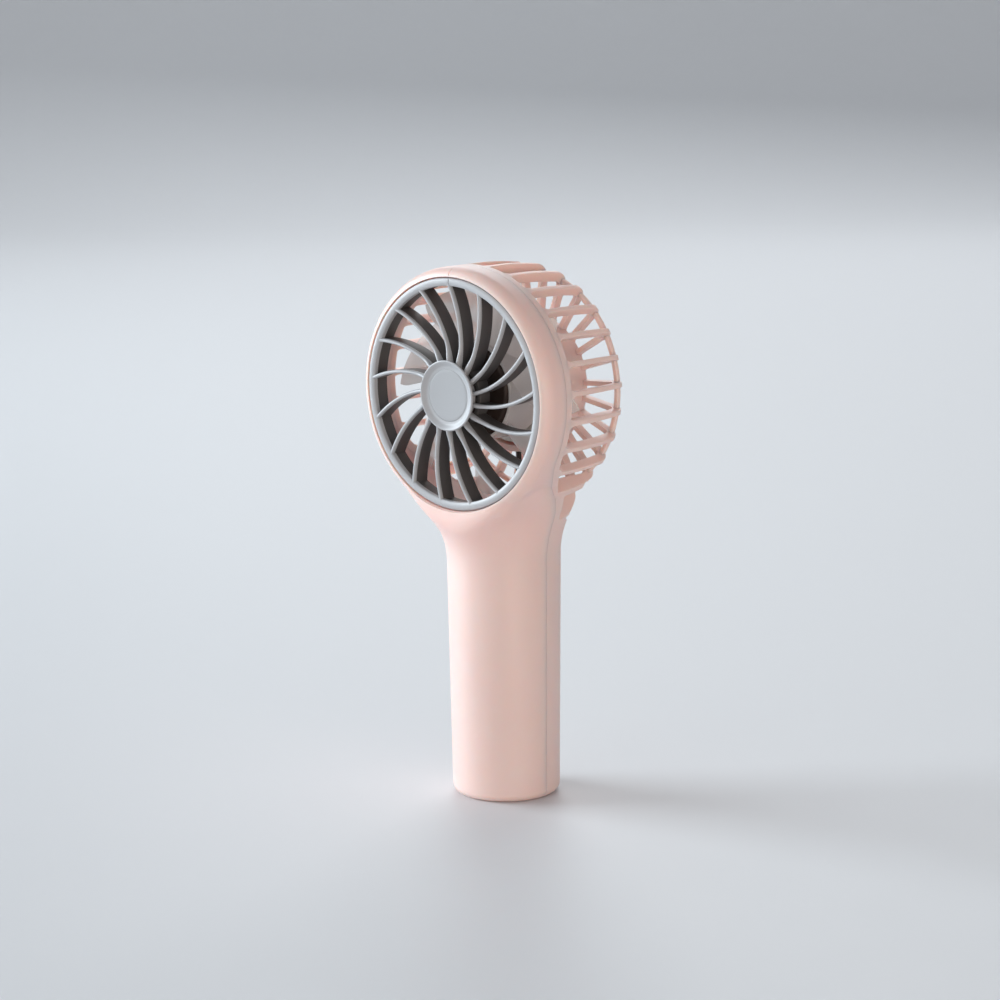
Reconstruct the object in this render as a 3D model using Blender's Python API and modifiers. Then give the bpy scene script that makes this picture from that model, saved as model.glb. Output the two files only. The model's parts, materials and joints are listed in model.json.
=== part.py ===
"""A handheld electric fan as an assembly of separate pieces.

Sizes below are millimetres, and MM turns them into Blender's metres. The handle stands on z = 0 with
its axis on x = y = 0. The head is a drum whose axis runs along y at height HEAD_Z, and the air leaves
towards -y. Angles in the head are measured from +x towards +z.
"""

import math

import bmesh
import bpy
from mathutils import Matrix, Vector

MM = 0.001
GAP = 0.3

# Handle
HANDLE_BASE_RADIUS = 15.07
HANDLE_GROWTH = 0.0126
BASE_FILLET = 2.3
WALL = 1.9
FLOOR_THICKNESS = 2.4
FLOOR_DISC_RADIUS = 12.0
CAVITY_TOP = 77.0

# Head
HEAD_Z = 115.3
HEAD_RADIUS = 34.7
HEAD_FRONT = -20.5
HEAD_BACK = 15.0
HEAD_EDGE = 4.6
BACK_TAPER = 1.0
DUCT_RADIUS = 31.3
POCKET_RADIUS = 32.1
POCKET_FLOOR = -18.6
NECK_REACH = 16.0
NECK_REACH_BACK = 7.0
NECK_SINK = 0.5
FRONT_PLANE = -20.4
FRONT_REACH = 1.5
COLUMN_TOP = 80.0
NECK_TOP = 97.0

# Parting line between the two housings: flat in the handle, flat in the head, an S between them
SEAM_HANDLE_TOP = 79.0
SEAM_HEAD_BOTTOM = 100.0
SEAM_HEAD_Y = -12.3

# Rear cage
BAR_COUNT = 27
BAR_HALF = 0.75
CAGE_FLOOR = 12.4
HUB_DISC_RADIUS = 18.8
POD_WALL = 1.8
POD_FRONT = 3.6
HOOP_INNER = 30.5
HOOP_OUTER = 32.0
HOOP_FRONT = 12.5
HOOP_BACK = 13.9
SLOT_BEHIND_SEAM = 2.2
CLOSED_SLOTS = 1
LOW_SLOT_FRONT = 4.0
LOW_SLOT_REACH = 40.0

# Front grille and vanes
SPOKE_COUNT = 17
SPOKE_HALF = 0.65
SPOKE_SWEEP = math.radians(0.95)
FIRST_SPOKE = math.radians(91.0)
RING_OUTER = 31.8
RING_INNER = 29.6
GRILLE_FACE = -20.3
GRILLE_REAR = -18.9
BOSS_RADIUS = 9.7
BOSS_FACE = -22.5
BADGE_RADIUS = 7.1
VANE_FRONT = -18.6
VANE_REAR = -14.7
VANE_HALF = 0.5
VANE_RING_OUTER = 31.0
VANE_RING_INNER = 29.9
LUG_COUNT = 3
LUG_RADIUS = 31.9
LUG_HALF_ANGLE = math.radians(4.5)
LUG_Y = (-16.6, -15.2)
TWIST = math.radians(12.0)

# Fan rotor and motor, along y
CAN_RADIUS = 12.6
CAN_WALL = 0.9
CAN_FRONT = -11.8
CAN_REAR = 1.6
BLADE_COUNT = 7
BLADE_TIP = 28.9
HUB_RING_OUTER = 13.9
STATOR_RADIUS = 9.2
STATOR_Y = (-7.0, -1.5)
TOOTH_COUNT = 6
TUBE_OUTER = 3.9
TUBE_BORE = 2.8
TUBE_FRONT = -8.8
SHAFT_RADIUS = 1.0
PLATE_Y = (4.0, 5.6)
PLATE_RADIUS = 16.2
MOTOR_SCREW_RADIUS = 13.4

# Inside the handle
CELL_RADIUS = 9.1
CELL_Y = -3.2
CELL_Z = (9.5, 73.7)
BOARD_Y = (8.2, 9.2)
BOARD_Z = (9.0, 70.0)
BOARD_HALF = 8.6
USB_Z = 14.0
BUTTON_Z = 55.0
BUTTON_RADIUS = 4.4
BUTTON_FACE = 16.4
LIGHT_Z = 66.0
BOARD_SCREW_Z = (24.0, 43.0)
LOW_SCREW_X = 6.5
LOW_SCREW_Z = 5.4
TOP_SCREW_Z = 80.3
LEAD_X = -4.2
LEAD_RADIUS = 0.8

# Fasteners
SCREW_SHANK = 0.95
SCREW_HEAD = 1.9
SCREW_BORE = 1.25
HEAD_BORE = 2.2

DRUM_STEPS = 54
GRILLE_STEPS = 51
ROUND_STEPS = 36
SMALL_STEPS = 16


# ---------------------------------------------------------------- helpers

def clear_scene():
    for obj in list(bpy.data.objects):
        bpy.data.objects.remove(obj, do_unlink=True)


def new_collection(name):
    collection = bpy.data.collections.new(name)
    bpy.context.scene.collection.children.link(collection)
    return collection


def to_linear(level):
    share = level / 255
    return share / 12.92 if share <= 0.04045 else ((share + 0.055) / 1.055) ** 2.4


def material(name, colour, roughness, metallic=0.0, alpha=1.0):
    made = bpy.data.materials.new(name)
    made.use_nodes = True
    shader = made.node_tree.nodes["Principled BSDF"]
    rgba = [to_linear(level) for level in colour] + [1.0]
    shader.inputs["Base Color"].default_value = rgba
    shader.inputs["Roughness"].default_value = roughness
    shader.inputs["Metallic"].default_value = metallic
    shader.inputs["Alpha"].default_value = alpha
    made.diffuse_color = rgba
    return made


def vector(x, y, z):
    return Vector((x, y, z)) * MM


def place(name, mesh, paint=None):
    """Links a piece when it has a material, and a hidden cutter when it has none."""
    obj = bpy.data.objects.new(name, mesh)
    if paint:
        mesh.materials.append(paint)
        PIECES.objects.link(obj)
    else:
        CUTTERS.objects.link(obj)
        obj.hide_render = True
        obj.display_type = "WIRE"
    return obj


def mesh_from(name, shape):
    mesh = bpy.data.meshes.new(name)
    shape.to_mesh(mesh)
    shape.free()
    return mesh


def smooth(obj, degrees=35):
    obj.data.shade_smooth()
    obj.data.set_sharp_from_angle(angle=math.radians(degrees))


def triangulate(obj):
    """Triangles are exactly flat, so a Boolean after this leaves no cracks."""
    if not obj.modifiers or obj.modifiers[-1].type != "TRIANGULATE":
        obj.modifiers.new("Triangles", "TRIANGULATE")


def boolean(obj, other, operation, solver="EXACT"):
    triangulate(obj)
    triangulate(other)
    modifier = obj.modifiers.new(operation.title() + " " + other.name, "BOOLEAN")
    modifier.operation = operation
    modifier.object = other
    modifier.solver = solver


def turned(name, profile, paint=None, steps=ROUND_STEPS, closed=False, along="Y", at=(0, 0, HEAD_Z)):
    """Turns (radius, height) points round an axis. They run down the outer side."""
    mesh = bpy.data.meshes.new(name)
    points = [(radius * MM, 0, height * MM) for radius, height in profile]
    edges = [(i, i + 1) for i in range(len(points) - 1)]
    if closed:
        edges.append((len(points) - 1, 0))
    mesh.from_pydata(points, edges, [])
    obj = place(name, mesh, paint)
    screw = obj.modifiers.new("Turn", "SCREW")
    screw.steps = steps
    screw.render_steps = steps
    screw.use_merge_vertices = True
    screw.merge_threshold = 0.00001
    obj.location = vector(*at)
    if along == "Y":
        obj.rotation_euler.x = -math.pi / 2
    return obj


def ring(name, inner, outer, low, high, paint=None, steps=ROUND_STEPS, along="Y", at=(0, 0, HEAD_Z)):
    profile = [(outer, high), (outer, low), (inner, low), (inner, high)]
    return turned(name, profile, paint, steps, True, along, at)


def disc(name, radius, low, high, paint=None, steps=ROUND_STEPS, along="Y", at=(0, 0, HEAD_Z)):
    profile = [(0, high), (radius, high), (radius, low), (0, low)]
    return turned(name, profile, paint, steps, False, along, at)


def rod_shape(shape, radius, start, end, segments=SMALL_STEPS):
    """Adds a capped cylinder between two points to a bmesh."""
    start = Vector(start)
    run = Vector(end) - start
    turn = run.to_track_quat("Z", "Y").to_matrix().to_4x4()
    spot = Matrix.Translation((start + run / 2) * MM) @ turn
    bmesh.ops.create_cone(
        shape,
        cap_ends=True,
        segments=segments,
        radius1=radius * MM,
        radius2=radius * MM,
        depth=run.length * MM,
        matrix=spot,
    )


def rods(name, runs, paint=None, segments=SMALL_STEPS):
    """One mesh of cylinders, each given as (radius, start, end)."""
    shape = bmesh.new()
    for radius, start, end in runs:
        rod_shape(shape, radius, start, end, segments)
    return place(name, mesh_from(name, shape), paint)


def box(name, low, high, paint=None):
    shape = bmesh.new()
    size = Vector(high) - Vector(low)
    middle = (Vector(high) + Vector(low)) / 2
    bmesh.ops.create_cube(shape, size=1, matrix=Matrix.Diagonal((*(size * MM), 1)))
    obj = place(name, mesh_from(name, shape), paint)
    obj.location = middle * MM
    return obj


def arc(radius, start, end, count, centre=(0.0, 0.0)):
    step = (end - start) / count
    return [
        (centre[0] + radius * math.cos(start + step * i), centre[1] + radius * math.sin(start + step * i))
        for i in range(count + 1)
    ]


def circle(radius, count, centre=(0.0, 0.0)):
    return arc(radius, 0, 2 * math.pi, count, centre)[:-1]


ACROSS_X = Matrix(((0, 0, 1), (1, 0, 0), (0, 1, 0)))
ACROSS_Y = Matrix(((1, 0, 0), (0, 0, -1), (0, 1, 0)))
ACROSS_Z = Matrix.Identity(3)


def flat(name, outlines, thickness, paint=None, turn=ACROSS_Y, at=(0, 0, 0)):
    """A plate: closed outlines filled and extruded across the plane that turn names."""
    curve = bpy.data.curves.new(name, "CURVE")
    curve.dimensions = "2D"
    curve.fill_mode = "BOTH"
    curve.extrude = thickness / 2 * MM
    for outline in outlines:
        spline = curve.splines.new("POLY")
        spline.points.add(len(outline) - 1)
        for point, (u, v) in zip(spline.points, outline):
            point.co = (u * MM, v * MM, 0, 1)
        spline.use_cyclic_u = True
    guide = bpy.data.objects.new(name + "_outline", curve)
    CUTTERS.objects.link(guide)
    bpy.context.view_layer.update()
    graph = bpy.context.evaluated_depsgraph_get()
    mesh = bpy.data.meshes.new_from_object(guide.evaluated_get(graph))
    bpy.data.objects.remove(guide, do_unlink=True)
    shape = bmesh.new()
    shape.from_mesh(mesh)
    bmesh.ops.remove_doubles(shape, verts=shape.verts, dist=0.000001)
    shape.to_mesh(mesh)
    shape.free()
    obj = place(name, mesh, paint)
    obj.matrix_world = Matrix.Translation(vector(*at)) @ turn.to_4x4()
    return obj


def cable(name, route, radius, paint):
    curve = bpy.data.curves.new(name, "CURVE")
    curve.dimensions = "3D"
    curve.bevel_depth = radius * MM
    curve.bevel_resolution = 2
    curve.use_fill_caps = True
    spline = curve.splines.new("POLY")
    spline.points.add(len(route) - 1)
    for point, spot in zip(spline.points, route):
        point.co = (*vector(*spot), 1)
    obj = bpy.data.objects.new(name, curve)
    curve.materials.append(paint)
    PIECES.objects.link(obj)
    return obj


def smoothstep(low, high, value):
    share = min(max((value - low) / (high - low), 0), 1)
    return share * share * (3 - 2 * share)


def polar(radius, angle):
    return radius * math.cos(angle), radius * math.sin(angle)


# ---------------------------------------------------------------- outer form

def handle_radius(z):
    radius = HANDLE_BASE_RADIUS + HANDLE_GROWTH * z
    if z >= BASE_FILLET:
        return radius
    rise = BASE_FILLET - z
    return radius - BASE_FILLET + math.sqrt(BASE_FILLET**2 - rise**2)


def handle_distance(x, y, z):
    return max(math.hypot(x, y) - handle_radius(z), z - COLUMN_TOP)


def head_distance(x, y, z):
    """Distance to a drum with rounded edges that narrows a little towards the back."""
    taper = BACK_TAPER * min(max((y + 5) / 15, 0), 1) ** 2
    radial = math.hypot(x, z - HEAD_Z) - (HEAD_RADIUS - taper - HEAD_EDGE)
    middle = (HEAD_FRONT + HEAD_BACK) / 2
    axial = abs(y - middle) - ((HEAD_BACK - HEAD_FRONT) / 2 - HEAD_EDGE)
    outside = math.hypot(max(radial, 0), max(axial, 0))
    return outside + min(max(radial, axial), 0) - HEAD_EDGE


def held_back(distance, y):
    """The greater of a distance and the distance in front of a flat plane, rounded where they meet."""
    ahead = FRONT_PLANE - y
    near = max(FRONT_REACH - abs(distance - ahead), 0)
    return max(distance, ahead) + near * near / (4 * FRONT_REACH)


def blended_distance(x, y, z):
    """Handle and head joined by a wide fillet. Where the head alone rules, the surface sinks into it."""
    handle = handle_distance(x, y, z)
    head = head_distance(x, y, z)
    reach = NECK_REACH + (NECK_REACH_BACK - NECK_REACH) * smoothstep(8, 16, y)
    near = max(reach - abs(handle - head), 0) / reach
    sink = NECK_SINK * smoothstep(0.2, 0.9, (handle - head) / reach)
    return held_back(min(handle, head) - near * near * reach / 4 + sink, y)


def surface_radius(angle, z):
    """Where a ray from the handle's axis leaves the blended form."""
    low, high = 5.0, 48.0
    x, y = polar(1, angle)
    for _ in range(24):
        middle = (low + high) / 2
        if blended_distance(x * middle, y * middle, z) < 0:
            low = middle
        else:
            high = middle
    return low


def handle_levels():
    fillet = [BASE_FILLET * (1 - math.cos(math.radians(t))) for t in (0, 30, 60, 90)]
    straight = [30, 58, 66, 71]
    neck = [74 + 2.5 * i for i in range(9)]
    return fillet + straight + neck + [NECK_TOP]


def handle_form(name, paint):
    """Handle and neck: a loft of level sections, closed at both ends."""
    shape = bmesh.new()
    rings = []
    for z in handle_levels():
        angles = [2 * math.pi * i / ROUND_STEPS for i in range(ROUND_STEPS)]
        spots = [(*polar(surface_radius(angle, z), angle), z) for angle in angles]
        rings.append([shape.verts.new(vector(*spot)) for spot in spots])
    for lower, upper in zip(rings, rings[1:]):
        for i in range(ROUND_STEPS):
            j = (i + 1) % ROUND_STEPS
            shape.faces.new((lower[i], lower[j], upper[j], upper[i]))
    shape.faces.new(reversed(rings[0]))
    shape.faces.new(rings[-1])
    return place(name, mesh_from(name, shape), paint)


def drum_profile():
    """Outer side of the head, from its back to its front lip."""
    lip = HEAD_RADIUS - POCKET_RADIUS
    front = [
        (POCKET_RADIUS + lip * math.sin(t), HEAD_FRONT + 4.5 * (1 - math.cos(t)))
        for t in (math.radians(90), math.radians(62), math.radians(34), math.radians(8))
    ]
    back = [(28.4, HEAD_BACK), (30.9, 14.6), (32.5, 13.4), (33.4, 11.3), (33.9, 8.0)]
    return [(0, HEAD_BACK)] + back + [(HEAD_RADIUS, -3.0)] + front + [(31.0, HEAD_FRONT), (0, HEAD_FRONT)]


def seam_y(z):
    return SEAM_HEAD_Y * smoothstep(SEAM_HANDLE_TOP, SEAM_HEAD_BOTTOM, z)


def front_region(name, shift):
    """Everything in front of the parting line, moved back by shift, and the round floor under the handle."""
    heights = [-5, SEAM_HANDLE_TOP]
    steps = 10
    rise = SEAM_HEAD_BOTTOM - SEAM_HANDLE_TOP
    heights += [SEAM_HANDLE_TOP + rise * (i + 1) / steps for i in range(steps)] + [160]
    line = [(seam_y(z) + shift, z) for z in heights]
    region = flat(name, [line + [(-40, 160), (-40, -5)]], 90, turn=ACROSS_X)
    radius = FLOOR_DISC_RADIUS + GAP / 2 + shift
    top = FLOOR_THICKNESS + 0.3 + shift
    floor = disc(name + "_floor", radius, -3, top, along="Z", at=(0, 0, 0))
    boolean(region, floor, "UNION")
    return region


def handle_cavity():
    top = handle_radius(72) - WALL
    bottom = handle_radius(4) - WALL
    profile = [(0, CAVITY_TOP), (10.5, CAVITY_TOP), (13.2, 75.2), (top, 72), (bottom, FLOOR_THICKNESS)]
    return turned("cut_handle_cavity", profile + [(0, FLOOR_THICKNESS)], along="Z", at=(0, 0, 0))


# ---------------------------------------------------------------- front housing

def sector(inner, outer, start, end, count=4):
    return arc(outer, start, end, count) + arc(inner, end, start, count)


def lug_angles():
    return [math.radians(30) + 2 * math.pi * i / LUG_COUNT for i in range(LUG_COUNT)]


def bayonet_cutter():
    """Each lug slides in along an entry slot, then turns along a groove behind it."""
    play = math.radians(1.2)
    half = LUG_HALF_ANGLE + play
    low, high = LUG_Y
    grooves = [sector(30.5, 32.3, a - half, a + TWIST + half, 8) for a in lug_angles()]
    entries = [sector(30.6, 32.25, a + TWIST - half, a + TWIST + half) for a in lug_angles()]
    middle = (low + high) / 2
    groove = flat("cut_groove", grooves, high - low + 2 * GAP, at=(0, middle, HEAD_Z))
    entry_front = POCKET_FLOOR - 0.5
    entry = flat("cut_entry", entries, high - entry_front, at=(0, (high + entry_front) / 2, HEAD_Z))
    return groove, entry


def make_front_housing(paint):
    body = handle_form("front_housing", paint)
    boolean(body, handle_cavity(), "DIFFERENCE", "MANIFOLD")
    drum = turned("form_front_drum", drum_profile(), steps=DRUM_STEPS)
    boolean(body, drum, "UNION", "MANIFOLD")
    duct = [
        (0, 20),
        (DUCT_RADIUS, 20),
        (DUCT_RADIUS, POCKET_FLOOR),
        (POCKET_RADIUS, POCKET_FLOOR),
        (POCKET_RADIUS, -25),
        (0, -25),
    ]
    boolean(body, turned("cut_duct", duct, steps=DRUM_STEPS), "DIFFERENCE", "MANIFOLD")
    boolean(body, front_region("keep_front", -GAP / 2), "INTERSECT", "MANIFOLD")
    bosses = [(2.6, (x, -11.9, LOW_SCREW_Z), (x, -0.5, LOW_SCREW_Z)) for x in (-LOW_SCREW_X, LOW_SCREW_X)]
    boolean(body, rods("add_front_bosses", bosses), "UNION", "MANIFOLD")
    boolean(body, box("add_cell_shelf", (-3.2, -14.2, 7.0), (3.2, -2.0, 8.5)), "UNION", "MANIFOLD")
    holes = [(SCREW_BORE, (x, -8, LOW_SCREW_Z), (x, 3, LOW_SCREW_Z)) for x in (-LOW_SCREW_X, LOW_SCREW_X)]
    holes.append((SCREW_BORE, (0, -8, TOP_SCREW_Z), (0, 3, TOP_SCREW_Z)))
    boolean(body, rods("cut_front_holes", holes), "DIFFERENCE", "MANIFOLD")
    for cutter in bayonet_cutter():
        boolean(body, cutter, "DIFFERENCE", "MANIFOLD")
    smooth(body)


# ---------------------------------------------------------------- rear housing

def bar_angle(index):
    return math.radians(270) + 2 * math.pi * index / BAR_COUNT


def bar_edge(angle, radius, side):
    """A point at this radius on one face of the bar at this angle."""
    x, z = polar(radius, angle)
    return x - side * math.sin(angle), z + side * math.cos(angle)


def slot_section(shape, index, y, inset, reach):
    first, second = bar_angle(index), bar_angle(index + 1)
    side = BAR_HALF + inset
    inner = HUB_DISC_RADIUS + 0.2
    corners = [
        bar_edge(first, inner, side),
        bar_edge(first, reach, side),
        bar_edge(second, reach, -side),
        bar_edge(second, inner, -side),
    ]
    return [shape.verts.new(vector(x, y, z + HEAD_Z)) for x, z in corners]


def slot_front(index):
    angle = (bar_angle(index) + bar_angle(index + 1)) / 2
    z = HEAD_Z + HEAD_RADIUS * math.sin(angle)
    return seam_y(z) + SLOT_BEHIND_SEAM


def add_slot(shape, index, front, reach):
    """One slot between two bars, with rounded front corners."""
    stages = [(front, 1.1), (front + 0.45, 0.45), (front + 1.6, 0.0), (HEAD_BACK + 5, 0.0)]
    sections = [slot_section(shape, index, y, inset, reach) for y, inset in stages]
    for one, two in zip(sections, sections[1:]):
        for i in range(4):
            j = (i + 1) % 4
            shape.faces.new((one[j], one[i], two[i], two[j]))
    shape.faces.new(sections[0])
    shape.faces.new(reversed(sections[-1]))


def slot_cutter():
    shape = bmesh.new()
    for index in range(CLOSED_SLOTS, BAR_COUNT - CLOSED_SLOTS):
        lowest = index in (CLOSED_SLOTS, BAR_COUNT - CLOSED_SLOTS - 1)
        front = LOW_SLOT_FRONT if lowest else slot_front(index)
        reach = LOW_SLOT_REACH if lowest else 46.0
        add_slot(shape, index, front, reach)
    bmesh.ops.recalc_face_normals(shape, faces=shape.faces)
    return place("cut_slots", mesh_from("cut_slots", shape))


def motor_screw_spots():
    return [polar(MOTOR_SCREW_RADIUS, math.radians(90 + 120 * i)) for i in range(3)]


def housing_screw_spots():
    return [(-LOW_SCREW_X, LOW_SCREW_Z), (LOW_SCREW_X, LOW_SCREW_Z), (0, TOP_SCREW_Z)]


def rear_holes():
    """Screw bores, and the button, light and lead holes."""
    runs = [(SCREW_BORE, (x, -5, z), (x, 12, z)) for x, z in housing_screw_spots()]
    for x, z in motor_screw_spots():
        runs.append((SCREW_BORE, (x, 4.0, HEAD_Z + z), (x, 12.0, HEAD_Z + z)))
    for z in BOARD_SCREW_Z:
        runs.append((SCREW_BORE, (0, 8, z), (0, 12.6, z)))
    runs.append((BUTTON_RADIUS + GAP, (0, 9, BUTTON_Z), (0, 20, BUTTON_Z)))
    runs.append((1.0 + GAP, (0, 9, LIGHT_Z), (0, 20, LIGHT_Z)))
    runs.append((LEAD_RADIUS + 0.35, (LEAD_X, 12.2, 88.4), (LEAD_X, 7.3, 75.2)))
    return runs


def make_rear_housing(paint):
    body = handle_form("rear_housing", paint)
    boolean(body, bpy.data.objects["cut_handle_cavity"], "DIFFERENCE", "MANIFOLD")
    drum = turned("form_rear_drum", drum_profile(), steps=DRUM_STEPS)
    boolean(body, drum, "UNION", "MANIFOLD")
    pod_inner = HUB_DISC_RADIUS - POD_WALL
    chamber = [
        (0, CAGE_FLOOR),
        (pod_inner, CAGE_FLOOR),
        (pod_inner, POD_FRONT),
        (HUB_DISC_RADIUS, POD_FRONT),
        (HUB_DISC_RADIUS, CAGE_FLOOR),
        (28.6, CAGE_FLOOR),
        (30.2, 12.0),
        (31.0, 11.1),
        (DUCT_RADIUS, 9.8),
        (DUCT_RADIUS, -30),
        (0, -30),
    ]
    boolean(body, turned("cut_chamber", chamber, steps=DRUM_STEPS), "DIFFERENCE", "MANIFOLD")
    boolean(body, slot_cutter(), "DIFFERENCE", "MANIFOLD")
    boolean(body, front_region("cut_front", GAP / 2), "DIFFERENCE", "MANIFOLD")
    hoop = ring("add_hoop", HOOP_INNER, HOOP_OUTER, HOOP_FRONT, HOOP_BACK, steps=DRUM_STEPS)
    boolean(body, hoop, "UNION", "MANIFOLD")
    posts = [(2.8, (x, 0.45, LOW_SCREW_Z), (x, 11.6, LOW_SCREW_Z)) for x in (-LOW_SCREW_X, LOW_SCREW_X)]
    posts += [(2.4, (x, 5.9, HEAD_Z + z), (x, 13, HEAD_Z + z)) for x, z in motor_screw_spots()]
    posts += [(2.4, (0, BOARD_Y[1] + GAP, z), (0, 14.2, z)) for z in BOARD_SCREW_Z]
    boolean(body, rods("add_posts", posts), "UNION", "MANIFOLD")
    sinks = [(HEAD_BORE, (x, 9, z), (x, 22, z)) for x, z in housing_screw_spots()]
    boolean(body, rods("cut_counterbores", sinks), "DIFFERENCE", "MANIFOLD")
    boolean(body, rods("cut_rear_holes", rear_holes()), "DIFFERENCE", "MANIFOLD")
    window = flat("cut_usb_window", [stadium(9.7, 4.0)], 12, at=(0, 15, USB_Z))
    boolean(body, window, "DIFFERENCE", "MANIFOLD")
    gate = (LEAD_X - 1.3, POD_FRONT + 4.6, HEAD_Z - HUB_DISC_RADIUS - 1)
    passage = box("cut_lead_gate", gate, (LEAD_X + 1.3, CAGE_FLOOR + 0.05, HEAD_Z - 14))
    boolean(body, passage, "DIFFERENCE", "MANIFOLD")
    smooth(body)


# ---------------------------------------------------------------- grille and vanes

def spoke_angle(index, radius):
    first = FIRST_SPOKE + 2 * math.pi * index / SPOKE_COUNT
    return first - SPOKE_SWEEP * (RING_INNER - radius)


def spoke_outline(index, inner, outer, half, count=6):
    """A swept blade of constant width, followed out on one side and back on the other."""
    sides = [[], []]
    for i in range(count + 1):
        radius = inner + (outer - inner) * i / count
        angle = spoke_angle(index, radius)
        lean = math.atan(radius * SPOKE_SWEEP)
        x, z = polar(radius, angle)
        across = polar(half, angle + lean + math.pi / 2)
        sides[0].append((x + across[0], z + across[1]))
        sides[1].append((x - across[0], z - across[1]))
    return sides[1] + sides[0][::-1]


def swept_spokes(name, inner, outer, half, front, rear):
    outlines = [spoke_outline(i, inner, outer, half) for i in range(SPOKE_COUNT)]
    return flat(name, outlines, rear - front, at=(0, (front + rear) / 2, HEAD_Z))


def make_front_grille(paint):
    face = GRILLE_FACE
    profile = [
        (RING_OUTER, GRILLE_REAR),
        (RING_OUTER, face + 0.45),
        (RING_OUTER - 0.4, face + 0.05),
        (RING_OUTER - 1.1, face - 0.1),
        (RING_INNER + 0.4, face + 0.05),
        (RING_INNER, face + 0.45),
        (RING_INNER, GRILLE_REAR),
    ]
    grille = turned("front_grille", profile, paint, GRILLE_STEPS, True)
    boss = [
        (0, GRILLE_REAR),
        (BOSS_RADIUS, GRILLE_REAR),
        (BOSS_RADIUS, BOSS_FACE + 0.9),
        (BOSS_RADIUS - 0.4, BOSS_FACE + 0.2),
        (BOSS_RADIUS - 0.9, BOSS_FACE),
        (BOSS_RADIUS - 1.5, BOSS_FACE + 0.2),
        (BADGE_RADIUS + GAP, BOSS_FACE + 0.8),
        (BADGE_RADIUS + GAP, BOSS_FACE + 1.6),
        (0, BOSS_FACE + 1.6),
    ]
    boolean(grille, turned("add_boss", boss), "UNION")
    spokes = swept_spokes("add_spokes", BOSS_RADIUS - 0.8, RING_INNER + 0.6, SPOKE_HALF, face + 0.2, GRILLE_REAR - 0.12)
    boolean(grille, spokes, "UNION")
    smooth(grille)
    badge_floor = BOSS_FACE + 1.6 - GAP
    badge = disc("centre_badge", BADGE_RADIUS, badge_floor - 0.6, badge_floor, MATERIALS["satin_grey"])
    smooth(badge)


def make_vane_insert(paint):
    insert = ring("vane_insert", VANE_RING_INNER, VANE_RING_OUTER, VANE_FRONT, VANE_REAR, paint, GRILLE_STEPS)
    hub = ring("add_vane_hub", 8.0, 9.2, VANE_FRONT, VANE_REAR)
    boolean(insert, hub, "UNION", "MANIFOLD")
    front, rear = VANE_FRONT + 0.15, VANE_REAR - 0.2
    vanes = swept_spokes("add_vanes", 8.6, VANE_RING_INNER + 0.5, VANE_HALF, front, rear)
    boolean(insert, vanes, "UNION", "MANIFOLD")
    outlines = [sector(30.5, LUG_RADIUS, a - LUG_HALF_ANGLE, a + LUG_HALF_ANGLE, 3) for a in lug_angles()]
    low, high = LUG_Y
    lugs = flat("add_lugs", outlines, high - low, at=(0, (low + high) / 2, HEAD_Z))
    boolean(insert, lugs, "UNION", "MANIFOLD")
    smooth(insert)


# ---------------------------------------------------------------- fan rotor

def blade_point(across, along, turn):
    """A point of a twisted, cambered blade: across runs root to tip, along runs front to rear."""
    radius = 13.4 + (BLADE_TIP - 13.4) * across
    pitch = math.radians(50 - 20 * across)
    chord = 13.0 + 9.0 * math.sin(math.pi / 2 * across)
    if across > 0.8:
        chord *= 1 - 0.9 * (across - 0.8)
    reach = (along - 0.5) * chord
    camber = 1.3 * math.sin(math.pi * along)
    around = reach * math.cos(pitch) + camber * math.sin(pitch)
    back = reach * math.sin(pitch) - camber * math.cos(pitch)
    angle = turn - around / radius + math.radians(10) * across
    x, z = polar(radius, angle)
    return x, -5.4 + back, z + HEAD_Z


def blades_form():
    rows, columns = 4, 5
    shape = bmesh.new()
    for blade in range(BLADE_COUNT):
        turn = 2 * math.pi * blade / BLADE_COUNT
        grid = [
            [shape.verts.new(vector(*blade_point(i / rows, j / columns, turn))) for j in range(columns + 1)]
            for i in range(rows + 1)
        ]
        for i in range(rows):
            for j in range(columns):
                shape.faces.new((grid[i][j], grid[i + 1][j], grid[i + 1][j + 1], grid[i][j + 1]))
    blades = place("add_blades", mesh_from("add_blades", shape))
    shell = blades.modifiers.new("Thickness", "SOLIDIFY")
    shell.thickness = 0.9 * MM
    shell.offset = 0
    return blades


def make_rotor():
    impeller = ring(
        "impeller", CAN_RADIUS + GAP, HUB_RING_OUTER, CAN_FRONT + 0.2, CAN_REAR - 0.4, MATERIALS["clear_blade"], 42
    )
    boolean(impeller, blades_form(), "UNION")
    smooth(impeller)
    inner = CAN_RADIUS - CAN_WALL
    blind = CAN_FRONT + 0.5
    profile = [
        (inner, CAN_REAR),
        (CAN_RADIUS, CAN_REAR),
        (CAN_RADIUS, CAN_FRONT + 1.2),
        (CAN_RADIUS - 0.4, CAN_FRONT + 0.35),
        (CAN_RADIUS - 1.2, CAN_FRONT),
        (0, CAN_FRONT),
    ]
    inside = [
        (0, blind),
        (SHAFT_RADIUS + GAP, blind),
        (SHAFT_RADIUS + GAP, CAN_FRONT + 2.4),
        (2.6, CAN_FRONT + 2.4),
        (2.6, CAN_FRONT + 1.0),
        (inner, CAN_FRONT + 1.0),
    ]
    smooth(turned("rotor_can", inside + profile, MATERIALS["black_steel"]))
    magnet = ring("rotor_magnet", STATOR_RADIUS + 0.5, inner - GAP, -8.4, 0.4, MATERIALS["magnet"])
    smooth(magnet)
    smooth(disc("rotor_shaft", SHAFT_RADIUS, blind + GAP, 6.8, MATERIALS["bright_steel"], SMALL_STEPS))
    smooth(ring("shaft_clip", SHAFT_RADIUS + GAP, 2.2, 5.7, 6.3, MATERIALS["bright_steel"], SMALL_STEPS))


# ---------------------------------------------------------------- motor

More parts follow.
